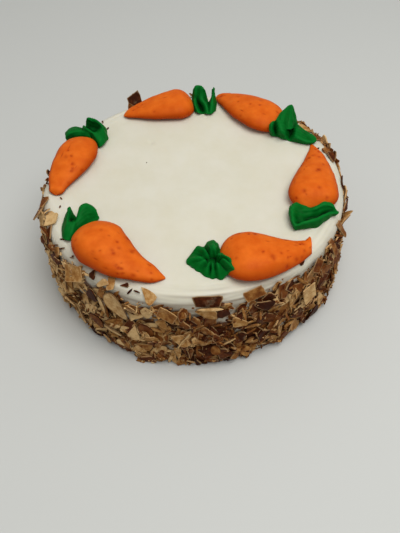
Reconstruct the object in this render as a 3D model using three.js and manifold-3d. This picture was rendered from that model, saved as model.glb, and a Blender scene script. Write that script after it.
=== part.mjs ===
// A two-layer carrot cake, frosted smooth on top, its side pressed with flaked almonds,
// with six piped carrots and their piped green tops round the rim.
// Millimetres, +Z up, origin at the centre of the flat base, -Y towards the front.
import * as THREE from 'three';
import { mergeVertices } from 'three/addons/utils/BufferGeometryUtils.js';
import Module from 'manifold-3d';

const wasm = await Module();
wasm.setup();

// ---- driving dimensions -------------------------------------------------------------------

const cake = {
  radius: 107, // frosted, before the almonds
  height: 69, // base to the frosting's top
  shoulder: 8, // rounding of the top edge
  foot: 1.5, // rounding of the bottom edge
  coat: 2.2, // depth of the densely pressed almonds, under the flakes that stand out
  coatFade: 5.5, // height over which that depth runs out, at its upper edge
  segments: 72,
  shoulderSteps: 4,
};

const gap = 0.35; // clear space between a piece and what it lies on

// butt, bend1, bend2 and tip steer the middle line, in plan; half is half of the widest
// width, at the share `widest` of the length. From there the width falls to the share `tail`
// of half: `straight` is how much of that fall is even, and taper bends the rest. The tip
// rounds off from the share `round` on; rise is the height as a share of the width.
const carrots = [
  {
    butt: [4.2, 85.3], bend1: [-14.2, 83], bend2: [-35.4, 80.2], tip: [-51.4, 78.6],
    half: 16.5, widest: 0.24, taper: 0.58, straight: 0.31, tail: 0.24, round: 0.89, rise: 0.39,
  },
  {
    butt: [71.3, 53.5], bend1: [52.6, 63.5], bend2: [35.6, 87.8], tip: [23.2, 97.2],
    half: 16.8, widest: 0.29, taper: 0.53, straight: 0.11, tail: 0.2, round: 0.97, rise: 0.38,
  },
  {
    butt: [79.8, -39.9], bend1: [79.4, -22.3], bend2: [93.6, 4.5], tip: [90, 30.1],
    half: 17.1, widest: 0.24, taper: 0.79, straight: 0.36, tail: 0.22, round: 0.8, rise: 0.41,
  },
  {
    butt: [15.1, -81.5], bend1: [31.3, -77.9], bend2: [57.6, -82.8], tip: [74.2, -63.5],
    half: 18.6, widest: 0.28, taper: 1.03, straight: 0, tail: 0.34, round: 0.95, rise: 0.38,
  },
  {
    butt: [-73.7, -45.6], bend1: [-59.5, -65.7], bend2: [-46.5, -86.1], tip: [-22.6, -91.2],
    half: 17.2, widest: 0.31, taper: 0.68, straight: 0.73, tail: 0.27, round: 0.86, rise: 0.48,
  },
  {
    butt: [-79.6, 50.4], bend1: [-82.8, 27.8], bend2: [-91.6, 13.4], tip: [-96.2, -9.4],
    half: 15.2, widest: 0.34, taper: 0.45, straight: 0.14, tail: 0.31, round: 0.96, rise: 0.4,
  },
];
const carrotEnd = 0.15; // half width where an end closes
const carrotMiddle = 0.43; // height of its middle line over the frosting, over its own height
const carrotSides = 12;
const carrotSteps = 12;

// Each green top is a low mound under one or two sheets of icing. A sheet is given by rows of
// points across it, in the order the nozzle went, each [x, y, height over the flat top].
const carrotTops = [
  {
    mound: { at: [13, 84], radius: 5, height: 3 },
    sheets: [
      [
        [[4.4, 78.5, 0.6], [7.4, 74.2, 2.6], [11, 76.3, 0.6], [14.5, 73.1, 2.4], [17.7, 75.6, 0.6]],
        [[2.9, 83.9, 2.5], [5.4, 79.2, 6.2], [9.4, 83.1, 1.8], [13.3, 78.3, 6.4], [17.1, 82.8, 2]],
        [[2.7, 88.9, 6], [4.8, 84.7, 9], [7.3, 86.7, 5.6], [11, 82.8, 9.4], [15.4, 87.4, 5]],
        [[3.6, 89.9, 11], [5.6, 86.2, 13.4], [8, 87.6, 12], [11, 86.3, 13.4], [14.3, 88.5, 10.8]],
        [[4.5, 89.4, 15], [6.4, 88.1, 17], [8.8, 88.5, 17], [11, 87.5, 17], [13.1, 87.9, 14.8]],
        [[6, 90.4, 16.6], [7.3, 90.1, 17.3], [8.9, 90, 17.4], [10.3, 89.8, 17.2], [11.5, 89.7, 16.4]],
      ],
      [
        [[13, 77.8, 0.6], [16.3, 73.5, 2], [18.8, 74.9, 1.6], [21.3, 79.1, 0.6]],
        [[14.8, 85.1, 1], [17.2, 78.5, 6.2], [19.7, 79, 6], [22.3, 84.5, 2.4]],
        [[16.8, 88.8, 3.6], [18.3, 83, 8.8], [20.1, 84, 8.6], [22.1, 89, 5.4]],
        [[18.7, 88.1, 8.6], [19.3, 85.4, 11.4], [20.2, 86.1, 11.4], [21.3, 89.4, 9.6]],
        [[20, 89.2, 14.6], [20.2, 89.4, 15.2], [20.5, 89.6, 15.4], [20.7, 89.7, 14.8]],
      ],
    ],
  },
  {
    mound: { at: [70, 50], radius: 7, height: 2.5 },
    sheets: [
      [
        [[60.5, 45.3, 0.6], [59.6, 44.3, 4.5], [59.3, 44.7, 7], [59.7, 45.9, 9], [61.2, 48, 10]],
        [[62.4, 43.5, 0.8], [60.9, 41.2, 7], [60.6, 42.3, 9.6], [61, 44.2, 11.4], [62.5, 47.5, 11.8]],
        [[65.5, 42.6, 0.6], [64.5, 44.3, 3], [64.2, 46.4, 5], [63.7, 47.1, 8], [64.4, 48.7, 10.4]],
        [[68.6, 40.3, 0.8], [66.7, 38.7, 7.4], [66.2, 41, 10.4], [66.1, 45.2, 12], [65.9, 49.8, 12.4]],
        [[71.4, 38.5, 0.8], [70, 37.3, 7], [69.9, 40.4, 9.4], [70.5, 45.2, 11], [71.3, 52.4, 11.5]],
        [[74.4, 37.3, 0.4], [74.6, 40.3, 1.2], [76.1, 44.2, 2], [76.8, 46.5, 4.6], [76.8, 52.3, 9]],
        [[77.8, 35.1, 0.8], [77.5, 33.8, 6], [78.7, 37.8, 6.8], [80.4, 43.2, 6.6], [82.2, 50.6, 5]],
        [[83.6, 32.6, 0.8], [83.9, 31.3, 4.4], [85.1, 34.2, 4.8], [86.4, 38.3, 4.8], [87.8, 44.6, 3.4]],
        [[88, 30.9, 0.8], [88.8, 30.3, 3.4], [90, 32.9, 3.8], [90.8, 36, 4], [91.6, 40.4, 3]],
        [[90.7, 31.3, 1], [92.3, 31.8, 2.2], [93.5, 33.3, 2.6], [93.9, 35.6, 2.6], [93.5, 38.5, 2]],
      ],
      [
        [[65.5, 50.1, 9], [68, 43.7, 10], [71.6, 41.7, 8.6], [76.1, 43.3, 6.6], [82.1, 51.7, 4]],
        [[66, 51.1, 11.6], [69, 48, 13], [72.8, 49.6, 9.6], [76.5, 48.9, 11], [81.6, 53.8, 7.6]],
        [[69.2, 57, 12.2], [71.7, 54.9, 13.6], [74.8, 56.2, 11.2], [77.3, 54.8, 12.8],
          [80.7, 58.3, 10.4]],
        [[73.7, 60.8, 13.4], [75.3, 60.4, 14.2], [76.9, 61.6, 13.2], [78.2, 60.7, 14],
          [79.8, 60.9, 12.6]],
        [[76.1, 62.5, 14], [77, 62.6, 14.3], [77.7, 62.9, 14.3], [78.4, 63, 14.2], [78.9, 62.3, 13.8]],
      ],
    ],
  },
  {
    mound: { at: [78, -47], radius: 6, height: 2 },
    sheets: [
      [
        [[63.8, -49.9, 1], [62.9, -48.1, 3], [62.4, -45.9, 4.2], [62.3, -43, 5],
          [62.7, -40.8, 5.6], [63.6, -38.1, 5.8], [65.5, -34.8, 4.8]],
        [[65.5, -54.7, 0.6], [64.3, -54.8, 4], [63.7, -52.9, 6], [63.8, -48.8, 7.4],
          [64.3, -44.1, 8.2], [65.8, -39.7, 8], [68.2, -34.6, 6.2]],
        [[67.6, -54.5, 0.6], [66.5, -55.2, 4.6], [66.4, -54.5, 5.4], [67.4, -50, 1.6],
          [67.8, -44.5, 4.6], [69.1, -39.8, 6.4], [71.5, -35.2, 6.2]],
        [[71.2, -54.2, 0.6], [70, -54.9, 5], [69.8, -53.9, 6.6], [71.1, -49.2, 1.4],
          [71.6, -44.4, 4.4], [72.6, -41.2, 6.4], [74.1, -37.3, 6]],
        [[75.8, -53.5, 0.6], [74.6, -54, 5.2], [74.2, -52.8, 7], [75.8, -47.6, 1],
          [76.3, -43.8, 4.2], [76.9, -41.5, 6.2], [77.8, -39.2, 5.6]],
        [[81.1, -52, 0.6], [79.5, -52.7, 5.4], [79, -51.3, 7], [80.3, -46.5, 1],
          [80.7, -43.3, 4.6], [81.2, -41.7, 7.4], [82, -38.6, 6.4]],
        [[86.6, -48, 0.6], [84.8, -49.2, 5], [84.2, -48.2, 6.4], [85.1, -44, 2],
          [85.5, -41.7, 5.2], [86.1, -39.7, 8.6], [87.6, -35.9, 7.6]],
        [[91.5, -44.2, 0.2], [90.3, -45.5, 4.2], [90.2, -44.6, 5], [91, -42.1, 3.6],
          [91.4, -40.7, 5], [91.6, -40.1, 7], [92.4, -37.3, 6.2]],
        [[95.6, -41.1, -1], [95.4, -43.3, 2], [95.8, -43.3, 2.6], [96.3, -42.7, 2.8],
          [96, -42, 3.2], [95, -41.1, 3.8], [94.3, -39.1, 3.6]],
      ],
    ],
  },
  {
    mound: { at: [9.5, -79.5], radius: 6, height: 2 },
    sheets: [],
    ruffle: true,
  },
  {
    mound: { at: [-79, -44.5], radius: 6.5, height: 2 },
    sheets: [
      [
        [[-80.7, -54.1, 0.6], [-82.1, -54.7, 1.4], [-83.3, -55, 2], [-84.6, -54.5, 2],
          [-86.2, -53.2, 1.4], [-87.8, -50.5, 0.3]],
        [[-77.1, -49.7, 1], [-80, -50.6, 5], [-81.8, -50.3, 5.4], [-83.5, -50, 5.4],
          [-85.6, -48.9, 4.4], [-88.6, -45.1, 0.8]],
        [[-76.2, -42.5, 2], [-78.3, -43.5, 6.8], [-79.9, -44.2, 7.2], [-81.6, -44.4, 7.2],
          [-84.2, -43.8, 6.4], [-88.4, -38.4, 1]],
        [[-79.2, -34.4, 1], [-80.1, -35.9, 1.2], [-81.3, -36.7, 1], [-82.5, -37.8, 2],
          [-83.8, -40, 7], [-87.8, -34.1, 1.6]],
        [[-80.2, -32.3, 1], [-80.8, -33.6, 2.4], [-81.6, -34.6, 3.6], [-82.2, -35.4, 5.4],
          [-83.4, -36.8, 8.4], [-86.4, -32.5, 4]],
        [[-81.7, -31, 3.6], [-81.7, -32.1, 5.2], [-81.9, -33, 6.6], [-82, -33.8, 8],
          [-82.7, -34.8, 9.6], [-84.5, -32.6, 7]],
        [[-82.2, -32.2, 9], [-82.1, -32.5, 9.8], [-82.1, -32.7, 10.4],
          [-82.2, -32.8, 10.8], [-82.4, -33, 10.6], [-82.8, -33.1, 10]],
      ],
      [
        [[-78.4, -50.5, 1], [-80.6, -47.4, 4.6], [-81.1, -45.9, 6.2], [-81.4, -42.5, 5.4],
          [-82, -37, 2]],
        [[-74.7, -47.7, 0.6], [-77.7, -45.5, 5.6], [-78.2, -43.3, 6.8], [-78.3, -40.3, 6],
          [-78.9, -34.7, 2]],
        [[-71, -44.3, 0.6], [-74.2, -41.7, 6.2], [-74.9, -39.3, 8.6], [-76, -35.9, 9.6],
          [-76.8, -32.4, 8.6]],
        [[-68.6, -40.8, 0.6], [-70.9, -38.4, 6], [-71.6, -35.3, 9], [-72.2, -32.3, 10.8],
          [-72.7, -29, 10]],
        [[-66.1, -37.8, 0.6], [-67.6, -35.8, 4.6], [-68.1, -33.8, 7.2],
          [-68.5, -31.4, 8.6], [-68.9, -28.7, 7.8]],
        [[-64, -34.5, 0.6], [-64.5, -34.2, 2.8], [-64.8, -33.3, 4.2], [-65.2, -32.2, 5],
          [-65.7, -30.2, 4.4]],
      ],
    ],
  },
  {
    mound: { at: [-78, 50], radius: 6, height: 2 },
    sheets: [
      [
        [[-95.9, 57.3, -6.2], [-95.1, 52.3, 1.6], [-95.6, 54.9, 2.4], [-96, 59.2, 1.4]],
        [[-92.9, 57.1, -6.2], [-91.8, 52.3, 4.6], [-92.5, 56, 5.2], [-93.1, 63.1, 2.4]],
        [[-86.9, 51.7, -1.3], [-86.8, 53, 5.8], [-87.1, 56.2, 6.2], [-87.9, 63.4, 3.4]],
        [[-81.2, 49.6, 0], [-81.5, 52.6, 5.8], [-82, 55.9, 5.4], [-82.7, 61.1, 3.4]],
        [[-75.5, 47.9, 1], [-76.5, 50.5, 5.6], [-77.9, 55.8, 4], [-79.4, 61.6, 2]],
      ],
      [
        [[-69.5, 40.3, 0.6], [-68.1, 39.7, 1.6], [-66.7, 40, 2], [-65.3, 41.9, 2],
          [-63.9, 45.3, 1.6], [-62.5, 50, 0.6]],
        [[-72.8, 45.3, 1], [-70, 42.9, 5], [-68, 43.1, 6], [-66, 44.7, 5.8],
          [-64.2, 47.8, 4.2], [-62.8, 52.2, 1.2]],
        [[-75.8, 50.3, 2], [-72.6, 47.9, 7.4], [-70.1, 49.9, 7.4], [-67.6, 51.4, 7.2],
          [-65.3, 53.5, 6.4], [-64.1, 58.4, 3]],
        [[-78.1, 52.2, 3], [-74.6, 50.2, 8], [-72.7, 56.5, 3.2], [-69.9, 58.9, 5],
          [-67.1, 56.9, 8.4], [-65.8, 60, 6]],
        [[-79.7, 54.8, 4], [-77.3, 52.8, 8.2], [-76.1, 59, 2.6], [-74.1, 62.5, 4.6],
          [-70.9, 61.6, 9], [-69.7, 63.7, 7]],
        [[-80.9, 57, 5.6], [-79.5, 55.9, 8], [-78.8, 62, 3], [-77.3, 64.2, 5.6],
          [-74.9, 63.2, 9.8], [-73.7, 64.1, 8.8]],
        [[-82.2, 60.3, 7], [-81.2, 59.8, 7.8], [-81.2, 64.3, 5], [-80.3, 65.3, 6.6],
          [-78.8, 64.4, 10.2], [-77.9, 64.6, 10]],
      ],
    ],
  },
];
const sheetThickness = 2.4;
const rimShare = 0.4; // thickness of its rim over that of its middle

// The fourth top is a ruffle squeezed in a ring round an open middle. Each fold is its turn in
// degrees, its reach from the middle, and its height over the flat top at its crest and edge.
const ruffle = {
  middle: [10.4, -80.8],
  hollow: 0.8, // height of the open middle
  lip: 1.8, // thickness at the edge
  hollowShare: 0.2, // how far out the open middle ends, as a share of the reach
  crestShare: 0.44,
  slopeShare: 0.75,
  bulge: 0.8, // how far the slope from crest to edge stands over a straight one
  folds: [
    [169, 17, 6.6, 1.6], [147, 16.1, 4, 2], [129, 15.8, 8, 4.6], [108, 15, 2.4, 2.4],
    [87, 17, 9, 5], [69, 11.6, 4.4, 3], [6, 6.5, 9.6, 8], [-15, 8.5, 7, 9],
    [-25, 11.7, 12.5, 11.5], [-35, 13.7, 8, 10], [-44, 17.1, 12, 9.5], [-50, 13, 6, 4.5],
    [-69, 12.8, 9, 1], [-83, 10.3, 5, 0.8], [-96, 10.9, 8.4, 0.8], [-108, 10.3, 1, 0.6],
    [-120, 10.4, 8, 0.8], [-147, 9.8, 4, 0.8], [-167, 11.7, 7, 1.2], [179, 14.2, 4.2, 1.2],
  ],
};

const almonds = {
  count: 168,
  longest: 20, // a whole slice of an almond
  shortest: 8.5, // a broken one
  slimness: [0.48, 0.72], // width over length
  thickness: 1.3,
  bury: 0.9, // how far its middle stands out of the frosting
  lean: 38, // most that its face turns from the wall, in degrees
  pointed: 0.35, // how much narrower the pointed half is, over the round one
  corners: 6,
  bareBand: 7, // mean height of frosting left bare under the top
  bareWaves: [[3, 2, 0.6], [1.8, 5, 2]], // its waves round the cake: height, number, start
  clearOfBase: 2,
  seed: 7,
};

// ---- helpers ------------------------------------------------------------------------------

// A closed three.js geometry as a solid.
function solid(geometry) {
  const bare = geometry.index ? geometry.clone() : geometry;
  bare.deleteAttribute('normal');
  bare.deleteAttribute('uv');
  const merged = mergeVertices(bare, 1e-4);
  const index = merged.index.array;
  const kept = [];
  for (let i = 0; i < index.length; i += 3) {
    const [a, b, c] = index.slice(i, i + 3);
    if (a !== b && b !== c && c !== a) kept.push(a, b, c);
  }
  return new wasm.Manifold(new wasm.Mesh({
    numProp: 3,
    vertProperties: new Float32Array(merged.attributes.position.array),
    triVerts: new Uint32Array(kept),
  }));
}

function geometryOf(manifold) {
  const mesh = manifold.getMesh();
  const geometry = new THREE.BufferGeometry();
  geometry.setAttribute('position', new THREE.BufferAttribute(mesh.vertProperties, 3));
  geometry.setIndex(new THREE.BufferAttribute(mesh.triVerts, 1));
  return geometry;
}

// The largest of the pieces that a join leaves: scraps and sealed bubbles are dropped.
function largestPiece(manifold) {
  const pieces = manifold.decompose();
  pieces.sort((a, b) => b.volume() - a.volume());
  return pieces[0];
}

// A closed skin over a grid of points, rows x columns, wrapped round in the columns.
function closedLoft(rows) {
  const columns = rows[0].length;
  const position = rows.flat().flatMap((p) => [p.x, p.y, p.z]);
  const index = [];
  for (let i = 0; i + 1 < rows.length; i++) {
    for (let j = 0; j < columns; j++) {
      const a = i * columns + j;
      const b = i * columns + ((j + 1) % columns);
      index.push(a, b, b + columns, a, b + columns, a + columns);
    }
  }
  const first = (rows.length - 1) * columns;
  for (let j = 1; j + 1 < columns; j++) {
    index.push(0, j + 1, j);
    index.push(first, first + j, first + j + 1);
  }
  const geometry = new THREE.BufferGeometry();
  geometry.setAttribute('position', new THREE.Float32BufferAttribute(position, 3));
  geometry.setIndex(index);
  return geometry;
}

function seededRandom(seed) {
  let state = seed;
  return () => {
    state = (state * 1664525 + 1013904223) % 4294967296;
    return state / 4294967296;
  };
}

const mix = THREE.MathUtils.lerp;

// ---- frosted body -------------------------------------------------------------------------

// Height of the frosting at a distance from the middle.
function frostingHeight(distance) {
  const flat = cake.radius - cake.shoulder;
  const over = THREE.MathUtils.clamp(distance - flat, 0, cake.shoulder * 0.995);
  return cake.height - cake.shoulder + Math.sqrt(cake.shoulder ** 2 - over ** 2);
}

// Height of the frosting left bare under the top, round the cake.
function bareBand(angle) {
  const wave = ([high, number, start]) => high * Math.sin(number * angle + start);
  return almonds.bareWaves.reduce((sum, each) => sum + wave(each), almonds.bareBand);
}

// The frosted cake, larger by `grow` all over except at its base; with its coat, the wall
// steps out at one height, under the edge where the almonds end.
function frostedBody({ grow = 0, coated = false }) {
  const { radius, height, shoulder, foot, coat, coatFade, shoulderSteps, segments } = cake;
  const wall = radius + (coated ? coat : 0) + grow;
  const edge = height - almonds.bareBand;
  const profile = [[0, 0], [wall - foot, 0], [wall, foot]];
  if (coated) profile.push([wall, edge - coatFade]);
  const first = coated ? 1 : 0;
  for (let i = first; i <= shoulderSteps; i++) {
    const angle = (i / shoulderSteps) * Math.PI / 2;
    const x = radius - shoulder + (shoulder + grow) * Math.cos(angle);
    const y = height - shoulder + (shoulder + grow) * Math.sin(angle);
    profile.push([x, y]);
  }
  profile.push([0, height + grow]);
  const geometry = new THREE.LatheGeometry(profile.map((p) => new THREE.Vector2(...p)), segments);
  geometry.rotateX(Math.PI / 2);
  return solid(geometry);
}

// ---- piped carrots ------------------------------------------------------------------------

function carrotHalfWidth(carrot, share) {
  const { half, widest, taper, straight, tail, round } = carrot;
  if (share < widest) return half * Math.sqrt(1 - ((widest - share) / widest) ** 2);
  const along = (share - widest) / (1 - widest);
  const fall = mix(((1 + Math.cos(Math.PI * along)) / 2) ** taper, 1 - along, straight);
  const cap = Math.sqrt(1 - THREE.MathUtils.clamp((share - round) / (1 - round), 0, 1) ** 2);
  return half * cap * mix(tail, 1, fall);
}

// One carrot, larger by `grow`, lying on the frosting and sunk a little below its surface.
function carrotBody(carrot, grow = 0) {
  const points = [carrot.butt, carrot.bend1, carrot.bend2, carrot.tip];
  const line = new THREE.CubicBezierCurve(...points.map((p) => new THREE.Vector2(...p)));
  const rows = [];
  for (let i = 0; i <= carrotSteps; i++) {
    const share = (1 - Math.cos((Math.PI * i) / carrotSteps)) / 2;
    const centre = line.getPoint(share);
    const ahead = line.getTangent(share);
    const half = Math.max(carrotHalfWidth(carrot, share), carrotEnd) + grow;
    const tall = 2 * half * carrot.rise;
    const row = [];
    for (let j = 0; j < carrotSides; j++) {
      const angle = (2 * Math.PI * j) / carrotSides;
      const side = half * Math.cos(angle);
      const x = centre.x - ahead.y * side;
      const y = centre.y + ahead.x * side;
      const lift = tall * (carrotMiddle + (1 - carrotMiddle) * Math.sin(angle));
      row.push(new THREE.Vector3(x, y, frostingHeight(Math.hypot(x, y)) + lift));
    }
    rows.push(row);
  }
  return solid(closedLoft(rows));
}

// ---- piped green tops ---------------------------------------------------------------------

// One sheet of icing: a plate under the given rows of points, thinner round its rim.
function sheet(rows) {
  const top = rows.map((row) => row.map(([x, y, lift]) => new THREE.Vector3(x, y, cake.height + lift)));
  const columns = top[0].length;
  const pick = (i, j) => top[THREE.MathUtils.clamp(i, 0, rows.length - 1)][
    THREE.MathUtils.clamp(j, 0, columns - 1)];
  const outAt = (i, j) => {
    const along = pick(i + 1, j).clone().sub(pick(i - 1, j));
    const across = pick(i, j + 1).clone().sub(pick(i, j - 1));
    return new THREE.Vector3().crossVectors(along, across).normalize();
  };
  const outs = top.map((row, i) => row.map((_, j) => outAt(i, j)));
  const up = Math.sign(outs.flat().reduce((sum, out) => sum + out.z, 0));
  const loops = top.map((row, i) => {
    const under = row.map((p, j) => {
      const atRim = i === 0 || j === 0 || i === top.length - 1 || j === columns - 1;
      const thickness = sheetThickness * (atRim ? rimShare : 1);
      return p.clone().addScaledVector(outs[i][j], -up * thickness);
    });
    return up > 0 ? [...row.slice().reverse(), ...under] : [...row, ...under.reverse()];
  });
  return solid(closedLoft(loops));
}

// The ruffle: rings of points from the open middle over the crests to the edge, and back under.
function ruffleBody() {
  const folds = ruffle.folds.slice().sort((a, b) => ((a[0] + 360) % 360) - ((b[0] + 360) % 360));
  const ring = (share, heightOf) => folds.map(([turn, reach, crest, edge]) => {
    const angle = THREE.MathUtils.degToRad(turn);
    const [x, y] = ruffle.middle;
    const away = share * reach;
    const height = cake.height + heightOf(crest, edge);
    return new THREE.Vector3(x + away * Math.cos(angle), y + away * Math.sin(angle), height);
  });
  return solid(closedLoft([
    ring(ruffle.hollowShare, () => ruffle.hollow),
    ring(ruffle.crestShare, (crest) => crest),
    ring(ruffle.slopeShare, (crest, edge) => (crest + edge) / 2 + ruffle.bulge),
    ring(1, (crest, edge) => edge),
    ring(1, (crest, edge) => edge - ruffle.lip),
    ring(ruffle.crestShare, () => -ruffle.lip),
  ].reverse()));
}

function mound({ at, radius, height }) {
  const geometry = new THREE.SphereGeometry(1, 10, 6);
  geometry.rotateX(Math.PI / 2);
  geometry.scale(radius, radius, height);
  geometry.translate(at[0], at[1], frostingHeight(Math.hypot(...at)));
  return solid(geometry);
}

// ---- flaked almonds -----------------------------------------------------------------------

// A slice of an almond: a flat drop with one pointed end, bent a little along its length.
function almondSlice(length, width, thickness) {
  const outline = new THREE.Shape();
  for (let i = 0; i < almonds.corners; i++) {
    const angle = (2 * Math.PI * i) / almonds.corners;
    const x = (length / 2) * Math.cos(angle);
    const y = (width / 2) * Math.sin(angle) * (1 - almonds.pointed * Math.cos(angle));
    if (i === 0) outline.moveTo(x, y);
    else outline.lineTo(x, y);
  }
  outline.closePath();
  const geometry = new THREE.ExtrudeGeometry(outline, { depth: thickness, bevelEnabled: false });
  return geometry.translate(0, 0, -thickness / 2);
}

// Where each almond goes, largest first and evenly round the side.
function almondPlaces() {
  const random = seededRandom(almonds.seed);
  const golden = Math.PI * (3 - Math.sqrt(5));
  const heightStep = 0.7548776662; // spreads the heights as evenly as the golden angle does turns
  const places = [];
  for (let i = 0; i < almonds.count; i++) {
    const age = i / almonds.count;
    const angle = i * golden;
    const length = mix(almonds.longest, almonds.shortest, age ** 0.8);
    const width = length * mix(...almonds.slimness, random());
    const highest = cake.height - bareBand(angle);
    const height = mix(0, highest, (i * heightStep) % 1);
    const lean = THREE.MathUtils.degToRad(almonds.lean);
    const tilt = [lean * (2 * random() - 1), lean * (2 * random() - 1)];
    const turn = Math.PI * random();
    places.push({ angle, height, length, width, tilt, turn });
  }
  return places;
}

function placedAlmond({ angle, height, length, width, tilt, turn }, grow = 0) {
  const geometry = almondSlice(length + grow, width + grow, almonds.thickness + grow);
  const reach = cake.radius + cake.coat + almonds.bury;
  const drop = (length / 2) * Math.max(Math.abs(Math.cos(turn)), 0.75) + almonds.clearOfBase;
  const matrix = new THREE.Matrix4().makeRotationZ(angle)
    .multiply(new THREE.Matrix4().makeTranslation(reach, 0, Math.max(height, drop)))
    .multiply(new THREE.Matrix4().makeRotationY(Math.PI / 2 + tilt[0]))
    .multiply(new THREE.Matrix4().makeRotationX(tilt[1]))
    .multiply(new THREE.Matrix4().makeRotationZ(turn));
  return solid(geometry.applyMatrix4(matrix));
}

// ---- the model ----------------------------------------------------------------------------

const model = new THREE.Group();

function addPiece(name, manifold, color, roughness) {
  const material = new THREE.MeshStandardMaterial({ color, roughness, metalness: 0 });
  const mesh = new THREE.Mesh(geometryOf(manifold), material);
  mesh.name = name;
  model.add(mesh);
}

const clearOfCake = frostedBody({ grow: gap });
const toppings = [];

carrots.forEach((carrot, i) => {
  const piece = largestPiece(carrotBody(carrot).subtract(clearOfCake));
  toppings.push(piece);
  addPiece(`carrot_${i + 1}`, piece, '#e8702a', 0.45);
});

carrotTops.forEach((top, i) => {
  const parts = top.ruffle ? [ruffleBody()] : top.sheets.map(sheet);
  let piece = parts.reduce((joined, next) => joined.add(next), mound(top.mound));
  piece = piece.subtract(clearOfCake);
  for (const carrot of carrots) piece = piece.subtract(carrotBody(carrot, gap));
  piece = largestPiece(piece);
  toppings.push(piece);
  addPiece(`carrot_top_${i + 1}`, piece, '#14682b', 0.45);
});

const allToppings = toppings.reduce((joined, next) => joined.add(next));
let cakeBody = frostedBody({ coated: true });
for (const place of almondPlaces()) {
  if (placedAlmond(place, 2 * gap).intersect(allToppings).isEmpty()) {
    cakeBody = cakeBody.add(placedAlmond(place));
  }
}
addPiece('cake', largestPiece(cakeBody), '#e9e4d4', 0.6);

export default model;
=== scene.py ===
import math
import bpy
import numpy as np
from mathutils import Matrix, Vector


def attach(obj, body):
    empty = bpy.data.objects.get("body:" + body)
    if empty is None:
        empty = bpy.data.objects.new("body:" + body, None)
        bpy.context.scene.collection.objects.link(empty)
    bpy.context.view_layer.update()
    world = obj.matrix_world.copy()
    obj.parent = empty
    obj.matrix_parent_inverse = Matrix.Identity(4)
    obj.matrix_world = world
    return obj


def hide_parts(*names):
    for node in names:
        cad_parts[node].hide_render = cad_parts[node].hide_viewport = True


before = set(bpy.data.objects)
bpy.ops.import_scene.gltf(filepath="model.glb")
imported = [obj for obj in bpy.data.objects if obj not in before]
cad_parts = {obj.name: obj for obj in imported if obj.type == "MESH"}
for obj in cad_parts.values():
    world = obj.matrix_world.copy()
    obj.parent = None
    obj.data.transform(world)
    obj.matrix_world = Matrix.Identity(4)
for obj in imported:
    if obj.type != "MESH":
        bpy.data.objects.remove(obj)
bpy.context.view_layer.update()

millimetre = 0.001
colourA, colourB, colourOut = 6, 7, 2   # the colour sockets of a Mix node, whose names repeat


# small tools shared by every piece

def linear(hexColour):
    # an sRGB hex value as linear red, green, blue and alpha
    parts = [int(hexColour[i:i + 2], 16) / 255 for i in (1, 3, 5)]
    parts = [c / 12.92 if c <= 0.04045 else ((c + 0.055) / 1.055) ** 2.4 for c in parts]
    return (*parts, 1.0)


def addNode(material, kind, sources=None, **settings):
    # settings are the node's own or its sockets'; sources are links or, as tuples, colours
    tree = material.node_tree
    node = tree.nodes.new(kind)
    for name, value in settings.items():
        if hasattr(node, name):
            setattr(node, name, value)
        else:
            node.inputs[name.replace("_", " ")].default_value = value
    for socket, source in (sources or {}).items():
        if isinstance(source, tuple):
            node.inputs[socket].default_value = source
        else:
            tree.links.new(source, node.inputs[socket])
    return node


def rampStops(ramp, stops):
    points = ramp.color_ramp.elements
    while len(points) < len(stops):
        points.new(0.5)
    for point, (place, colour) in zip(points, stops):
        point.position = place
        point.color = linear(colour)


def newMaterial(name, **surface):
    material = bpy.data.materials.new(name)
    material.use_nodes = True
    shader = material.node_tree.nodes["Principled BSDF"]
    for socket, value in surface.items():
        shader.inputs[socket.replace("_", " ")].default_value = value
    return material, shader


def joinSurface(material, shader, colour, bump):
    links = material.node_tree.links
    links.new(colour, shader.inputs["Base Color"])
    links.new(bump.outputs["Normal"], shader.inputs["Normal"])
    return material


def meshPiece(name, points, faces, material, marks=None, smooth=True):
    # points in millimetres; marks are numbers kept at each point for the material
    mesh = bpy.data.meshes.new(name)
    mesh.from_pydata((np.asarray(points) * millimetre).tolist(), [], faces)
    for mark, values in (marks or {}).items():
        layer = mesh.attributes.new(mark, "FLOAT", "POINT")
        layer.data.foreach_set("value", np.asarray(values, np.float32))
    mesh.materials.append(material)
    mesh.polygons.foreach_set("use_smooth", [smooth] * len(mesh.polygons))
    mesh.update()
    piece = bpy.data.objects.new(name, mesh)
    bpy.context.collection.objects.link(piece)
    return piece


def gridFaces(rows, columns, wrap):
    # four-sided faces between rows of points, which wrap joins into rings
    across = np.arange(columns if wrap else columns - 1)
    a = np.arange(rows - 1)[:, None] * columns + across
    b = a + 1
    if wrap:
        b[:, -1] -= columns
    return np.stack([a, b, b + columns, a + columns], -1).reshape(-1, 4).tolist()


def softNoise(points, size, seed, waves=9):
    # smooth unevenness about -1 to 1 whose lumps are about `size` across
    draw = np.random.default_rng(seed)
    points = np.asarray(points, float)
    total = np.zeros(len(points))
    for _ in range(waves):
        direction = draw.normal(size=3)
        direction *= draw.uniform(0.6, 1.4) * math.pi / size / np.linalg.norm(direction)
        total += np.sin(points @ direction + draw.uniform(0, 2 * math.pi))
    return total / math.sqrt(waves / 2)


# frosting: cream cheese frosting spread with a palette knife, so satin and a little
# see-through, ivory where it is thick, with long faint knife marks round the shoulder

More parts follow.
